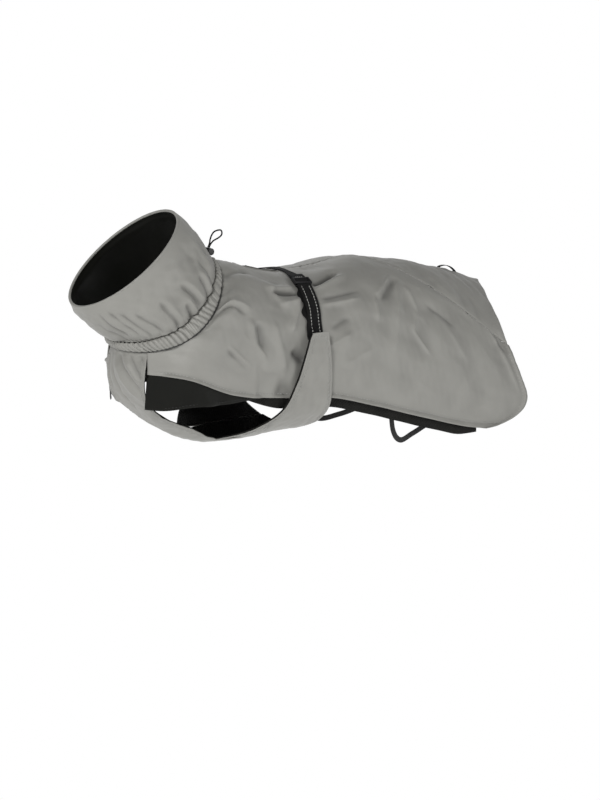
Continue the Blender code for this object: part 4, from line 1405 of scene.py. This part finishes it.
def girthLine(v, lift, side=None):
    # a path over the shell along v, with its directions; without a side, a negative v is the left half
    share = np.abs(v)
    flip = stack(1.0, np.where(v < 0, -1.0, 1.0) if side is None else side, 1.0)
    u = stationAtX(share, strapX(v))
    centre = inward(halfShell, u, share, -(lift + strapLook["thick"] / 2)) * flip
    across = unit(halfShell(u + 2e-3, share) - halfShell(u - 2e-3, share)) * flip
    return centre, *straightened(centre, across, outwardNormal(halfShell, u, share) * flip)


def addStrap(name, line, finish, width=None, thick=None, narrowed=None):
    centre, across, out = line
    outline = flatProfile(width or strapLook["width"], thick or strapLook["thick"])
    if narrowed is not None:
        outline = outline * stack(narrowed, 1.0, 0.0)[:, None, :2]
    strap = sweep(name, centre, across, out, outline)
    strap.data.materials.append(cloths[finish])
    return strap


def strapRows(name, line, keep):
    # one row of light thread beside each edge of a strap
    centre, across, out = (part[keep] for part in line)
    face = centre + out * (strapLook["thick"] / 2 + threadLift)
    for word, way in (("Front", -1), ("Rear", 1)):
        row = face + across * strapLook["stitchInset"] * way
        stitchRow(f"{name}{word}", row, out, lightThread, 0.0050, 0.0036, 0.00042)


def addGirthStraps():
    look = strapLook
    top = look["sliderShare"] - shareStep(look["sliderShare"], 0.019)
    bottom = coatShape["wingTopShare"] + 0.05
    v = np.linspace(top, bottom, 120)
    left = girthLine(v, look["lift"] - (look["lift"] - 0.0008) * ease((v - 0.47) / 0.13), -1)
    place(addStrap("girthWebbingLeft", left, "webbing"), "black_webbing", "girth_webbing_left")
    strapRows("girthStitchesLeft", left, slice(26, 118))
    # a softer band lies under the webbing, and its front edge waves
    v = np.linspace(look["sliderShare"] + 0.035, coatShape["wingTopShare"] + 0.02, 150)
    centre, across, out = girthLine(v, 0.0012, -1)
    wave = 0.0030 + 0.0016 * waves(v, 0.0, 151, 0.08, 7)
    line = centre - across * wave[:, None], across, out
    under = addStrap("girthUnderBand", line, "webbing", look["underWidth"], look["underThick"])
    place(under, "black_webbing")
    # the free end is folded back over the slider and sewn down
    centre, across, out = (part[9] for part in left)
    bar = np.linspace(-0.0088, 0.0088, 12)[:, None]
    face = centre + out * (look["thick"] / 2 + threadLift) + across * bar
    stitchRow("girthEndStitches", face, np.tile(out, (12, 1)), lightThread, 0.0034, 0.0026, 0.00040)
    foot = look["buckleShare"] + shareStep(look["buckleShare"], look["socketLength"] + 0.0006)
    v = np.linspace(foot, bottom, 70)
    lift = 0.0075 - 0.0067 * ease((v - foot) / (coatShape["wingTopShare"] - foot))
    right = girthLine(v, lift, 1)
    place(addStrap("girthWebbingRight", right, "webbing"), "black_webbing", "girth_webbing_right")
    strapRows("girthStitchesRight", right, slice(4, 68))
    head = look["buckleShare"] - shareStep(look["buckleShare"], look["plugLength"] + 0.0024)
    v = np.linspace(-look["sliderShare"] - 0.02, head, 180)
    line = girthLine(v, look["backLift"] + 0.0042 * ease((v - 0.20) / (head - 0.20)))
    # it is bunched where it crosses the cinched back
    strap = addStrap("backStrap", line, "webbing", narrowed=1 - 0.52 * bell(v + 0.075, 0.085))
    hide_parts("back_strap")
    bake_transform(strap)


def addTailLoop():
    s = np.linspace(0, 1, 60)
    u = stationAtX(np.zeros_like(s), 0.336 + 0.036 * s)
    lift = 0.0010 + 0.0062 * np.sin(math.pi * s) ** 0.7
    centre = inward(halfShell, u, np.zeros_like(s), -lift)
    across = np.tile([0.0, 1.0, 0.0], (len(s), 1))
    line = centre, *straightened(centre, across, outwardNormal(halfShell, u, np.zeros_like(s)))
    loop = addStrap("tailLoop", line, "webbing", strapLook["loopWidth"], strapLook["loopThick"])
    place(loop, "black_webbing", "tail_loop")


# hind-leg elastic, right side: its route from the lining inside the thigh to the rear corner
legStrapRoute = [
    [0.00, 0.130, 0.1210, -0.226],
    [0.14, 0.143, 0.1150, -0.258],
    [0.28, 0.167, 0.1050, -0.279],
    [0.42, 0.202, 0.0940, -0.275],
    [0.62, 0.256, 0.0860, -0.262],
    [0.80, 0.312, 0.0960, -0.252],
    [1.00, 0.372, 0.1260, -0.255],
]


def addLegStrap(word, side):
    depth = liningLook["depth"] + liningLook["thick"] + 0.0033
    route = np.array(legStrapRoute)
    route[0, 1:] = inward(halfShell, stationAtX(0.975, 0.130), 0.975, depth)
    route[-1, 1:] = inward(halfShell, 0.925, 0.955, depth)
    centre = throughRows(route, np.linspace(0, 1, 150))
    along = unit(np.gradient(centre, axis=0))
    across = unit(np.cross(along, [0.0, 1.0, 0.0]))
    out = np.cross(across, along)
    flip = mirrored(side)
    line = centre * flip, across * flip, out * flip
    width, thick = strapLook["elasticWidth"], strapLook["elasticThick"]
    strap = addStrap(f"legStrap{word}", line, "elastic", width, thick)
    place(strap, "black_elastic", f"leg_strap_{word.lower()}")


def addWelt():
    # raised lips on both sides of a slit for the leash; the slit is painted dark, as painted shade
    front, rear, middle, half = (weltLook[key] for key in ("frontX", "rearX", "share", "halfShare"))
    x, v = grid(np.linspace(front, rear, 90), np.linspace(middle - half, middle + half, 31))
    u = stationAtX(v, x)
    share = (v - middle) / half
    ends = ease((x - front) / 0.004) * ease((rear - x) / 0.004)
    lips = 0.0011 * bell(np.abs(share) - 0.45, 0.42) * (0.4 + 0.6 * ends)
    height = shellHeight(u, v, -1) + 0.0006 + lips - 0.0012 * bell(share, 0.30) * ends
    # painted shade of the slit, mixed in through the foldShade attribute
    shade = 2.6 * bell(share, 0.34) * ends
    return clothPiece(
        "leashSlitWelt", halfShell, u, v, height, weltLook["thick"], "shadedWeltCloth", mirrored(-1), shade
    )


def addSlitLiningAndShade():
    # a dark strip between the lips of the welt: partly the black lining seen through the slit, partly
    # painted shade in the slit
    look = weltLook
    x = np.linspace(look["frontX"] + 0.002, look["rearX"] - 0.002, 60)
    v = np.full(60, look["share"] + 0.0005)
    u = stationAtX(v, x)
    line, out = lineOn(halfShell, u, v, shellHeight(u, v, -1) + 0.0019, -1)
    along = unit(np.gradient(line, axis=0))
    outline = flatProfile(look["slitWidth"], look["slitThick"])
    strip = sweep("leashSlitLiningAndShade", line, unit(np.cross(out, along)), out, outline)
    strip.data.materials.append(cloths["webbing"])
    return place(strip, "black_webbing")


addGirthStraps()
addTailLoop()
for word, side in sides:
    addLegStrap(word, side)
place(addWelt(), "reflective_grey_cloth", "leash_slit_welt")
addSlitLiningAndShade()
print("coat: straps ready")


# slider, buckle, eyelet, cord lock and drawcord
hardware = {
    # CAD node: body, width of the rounded edges
    "strap_slider": ("strap_slider", 0.0007),
    "buckle_socket": ("coat", 0.0009),
    "buckle_plug": ("buckle_plug", 0.0007),
    "cord_eyelet": ("coat", 0.0003),
    "cord_lock_body": ("cord_lock", 0.0006),
    "cord_lock_button": ("lock_button", 0.0006),
}
cordLook = {
    "diameter": 0.0024,
    "station": 0.10,
    "lean": 0.85,
    "twist": math.radians(50),
    "length": 0.108,
    # route of the free loop, in metres from the eyelet: share of the way, across the strands, up
    "route": [
        [0.00, -0.00135, -0.0030],
        [0.08, -0.00135, 0.0060],
        [0.15, -0.00135, 0.0130],
        [0.21, -0.00145, 0.0200],
        [0.28, -0.00320, 0.0270],
        [0.35, -0.00560, 0.0345],
        [0.42, -0.00590, 0.0415],
        [0.50, 0.00000, 0.0470],
        [0.58, 0.00590, 0.0415],
        [0.65, 0.00560, 0.0345],
        [0.72, 0.00320, 0.0270],
        [0.79, 0.00145, 0.0200],
        [0.85, 0.00135, 0.0130],
        [0.92, 0.00135, 0.0060],
        [1.00, 0.00135, -0.0030],
    ],
    "lockReach": 0.0275,  # height above the eyelet that the lock can reach
    "bend": (0.38, 0.0, -0.14),  # lean of the loop above it
    "springAnchor": (-0.13476, 0.0080, 0.03971),
}


def mergedCopy(node, name):
    # the CAD piece as one joined mesh, its flat faces whole
    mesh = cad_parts[node].data.copy()
    mesh.name = name
    mesh.materials.clear()
    bm = bmesh.new()
    bm.from_mesh(mesh)
    bmesh.ops.remove_doubles(bm, verts=bm.verts, dist=1e-6)
    bmesh.ops.dissolve_limit(bm, angle_limit=math.radians(0.5), verts=bm.verts, edges=bm.edges)
    bm.to_mesh(mesh)
    bm.free()
    mesh.shade_smooth()
    obj = bpy.data.objects.new(name, mesh)
    bpy.context.scene.collection.objects.link(obj)
    return obj


def camel(name):
    first, *rest = name.split("_")
    return first + "".join(word.title() for word in rest)


def addHardware():
    pieces = {}
    for node, (body, width) in hardware.items():
        obj = mergedCopy(node, camel(node))
        obj.data.materials.append(moulded)
        bevel = obj.modifiers.new("rounded", "BEVEL")
        bevel.width = width
        bevel.segments = 3
        bevel.limit_method = "ANGLE"
        bevel.angle_limit = math.radians(35)
        bevel.harden_normals = True
        pieces[node] = place(obj, "black_plastic", node, body=body)
    spring = mergedCopy("cord_lock_spring", "cordLockSpring")
    spring.data.materials.append(springWire)
    place(spring, "spring_steel", "cord_lock_spring", body="cord_lock")
    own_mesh(spring)
    pieces["cord_lock_spring"] = spring
    return pieces


def addDrawcord(pieces):
    look = cordLook
    exit = neckTube(0.0, look["station"])
    up = unit(outwardNormal(neckTube, 0.0, look["station"]) + np.array([0.0, 0.0, look["lean"]]))
    along = np.array([0.0, -1.0, 0.0])
    aside, rise = np.moveaxis(throughRows(look["route"], np.linspace(0, 1, 110)), -1, 0)
    twist = look["twist"] * ease((rise - 0.020) / 0.020)
    local = stack(aside * np.cos(twist), aside * np.sin(twist), rise)
    points = exit + local @ np.array([along, np.cross(up, along), up])
    # above the reach of the lock the loop bends towards the back
    points += np.maximum(rise - look["lockReach"], 0)[:, None] * look["bend"]
    curve = bpy.data.curves.new("drawcordLoop", "CURVE")
    curve.dimensions = "3D"
    curve.bevel_depth = look["diameter"] / 2
    curve.bevel_resolution = 4
    curve.use_fill_caps = True
    spline = curve.splines.new("POLY")
    spline.points.add(len(points) - 1)
    weighted = np.concatenate([points, np.ones((len(points), 1))], axis=1)
    spline.points.foreach_set("co", weighted.ravel())
    curve.materials.append(braid)
    loop = bpy.data.objects.new("drawcordLoop", curve)
    bpy.context.scene.collection.objects.link(loop)
    place(loop, "black_elastic", "drawcord_loop")


def braidFinish(name):
    # braided cord: crossed diagonal bands, in the cord's own place
    n = Nodes(name)
    spot = n.add("TexCoord").outputs["Object"]
    one = n.bands(spot, 0.0012, "DIAGONAL")
    other = n.bands(spot, 0.0012, "DIAGONAL", math.radians(90))
    braided = n.sums("MAXIMUM", one, other)
    # painted highlight and painted shade: the strands are painted lighter where they stand high and
    # darker between them
    black, lighter = (0.002, 0.002, 0.002, 1), (0.007, 0.007, 0.007, 1)
    n.feed(n.shader.inputs["Base Color"], n.mixed(braided, black, lighter))
    n.shader.inputs["Roughness"].default_value = 0.62
    n.shader.inputs["Specular IOR Level"].default_value = 0.15
    n.bump(braided, 0.6, 0.0003)
    return n.material


braid = braidFinish("braidedCord")
addDrawcord(addHardware())
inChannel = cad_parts["drawcord_in_channel"]
inChannel.data.materials.clear()
inChannel.data.materials.append(braid)
print("coat: cord and hardware ready")


# sizes: each sheet's cloth area beside its flat area
for sheet, flat, area, rows in sheets:
    half = sum(face.area for face in sheet.data.polygons) / 2
    print("coat:", sheet.name, "cloth", round(half, 4), "of", area or round(flat[0] * flat[1], 4))
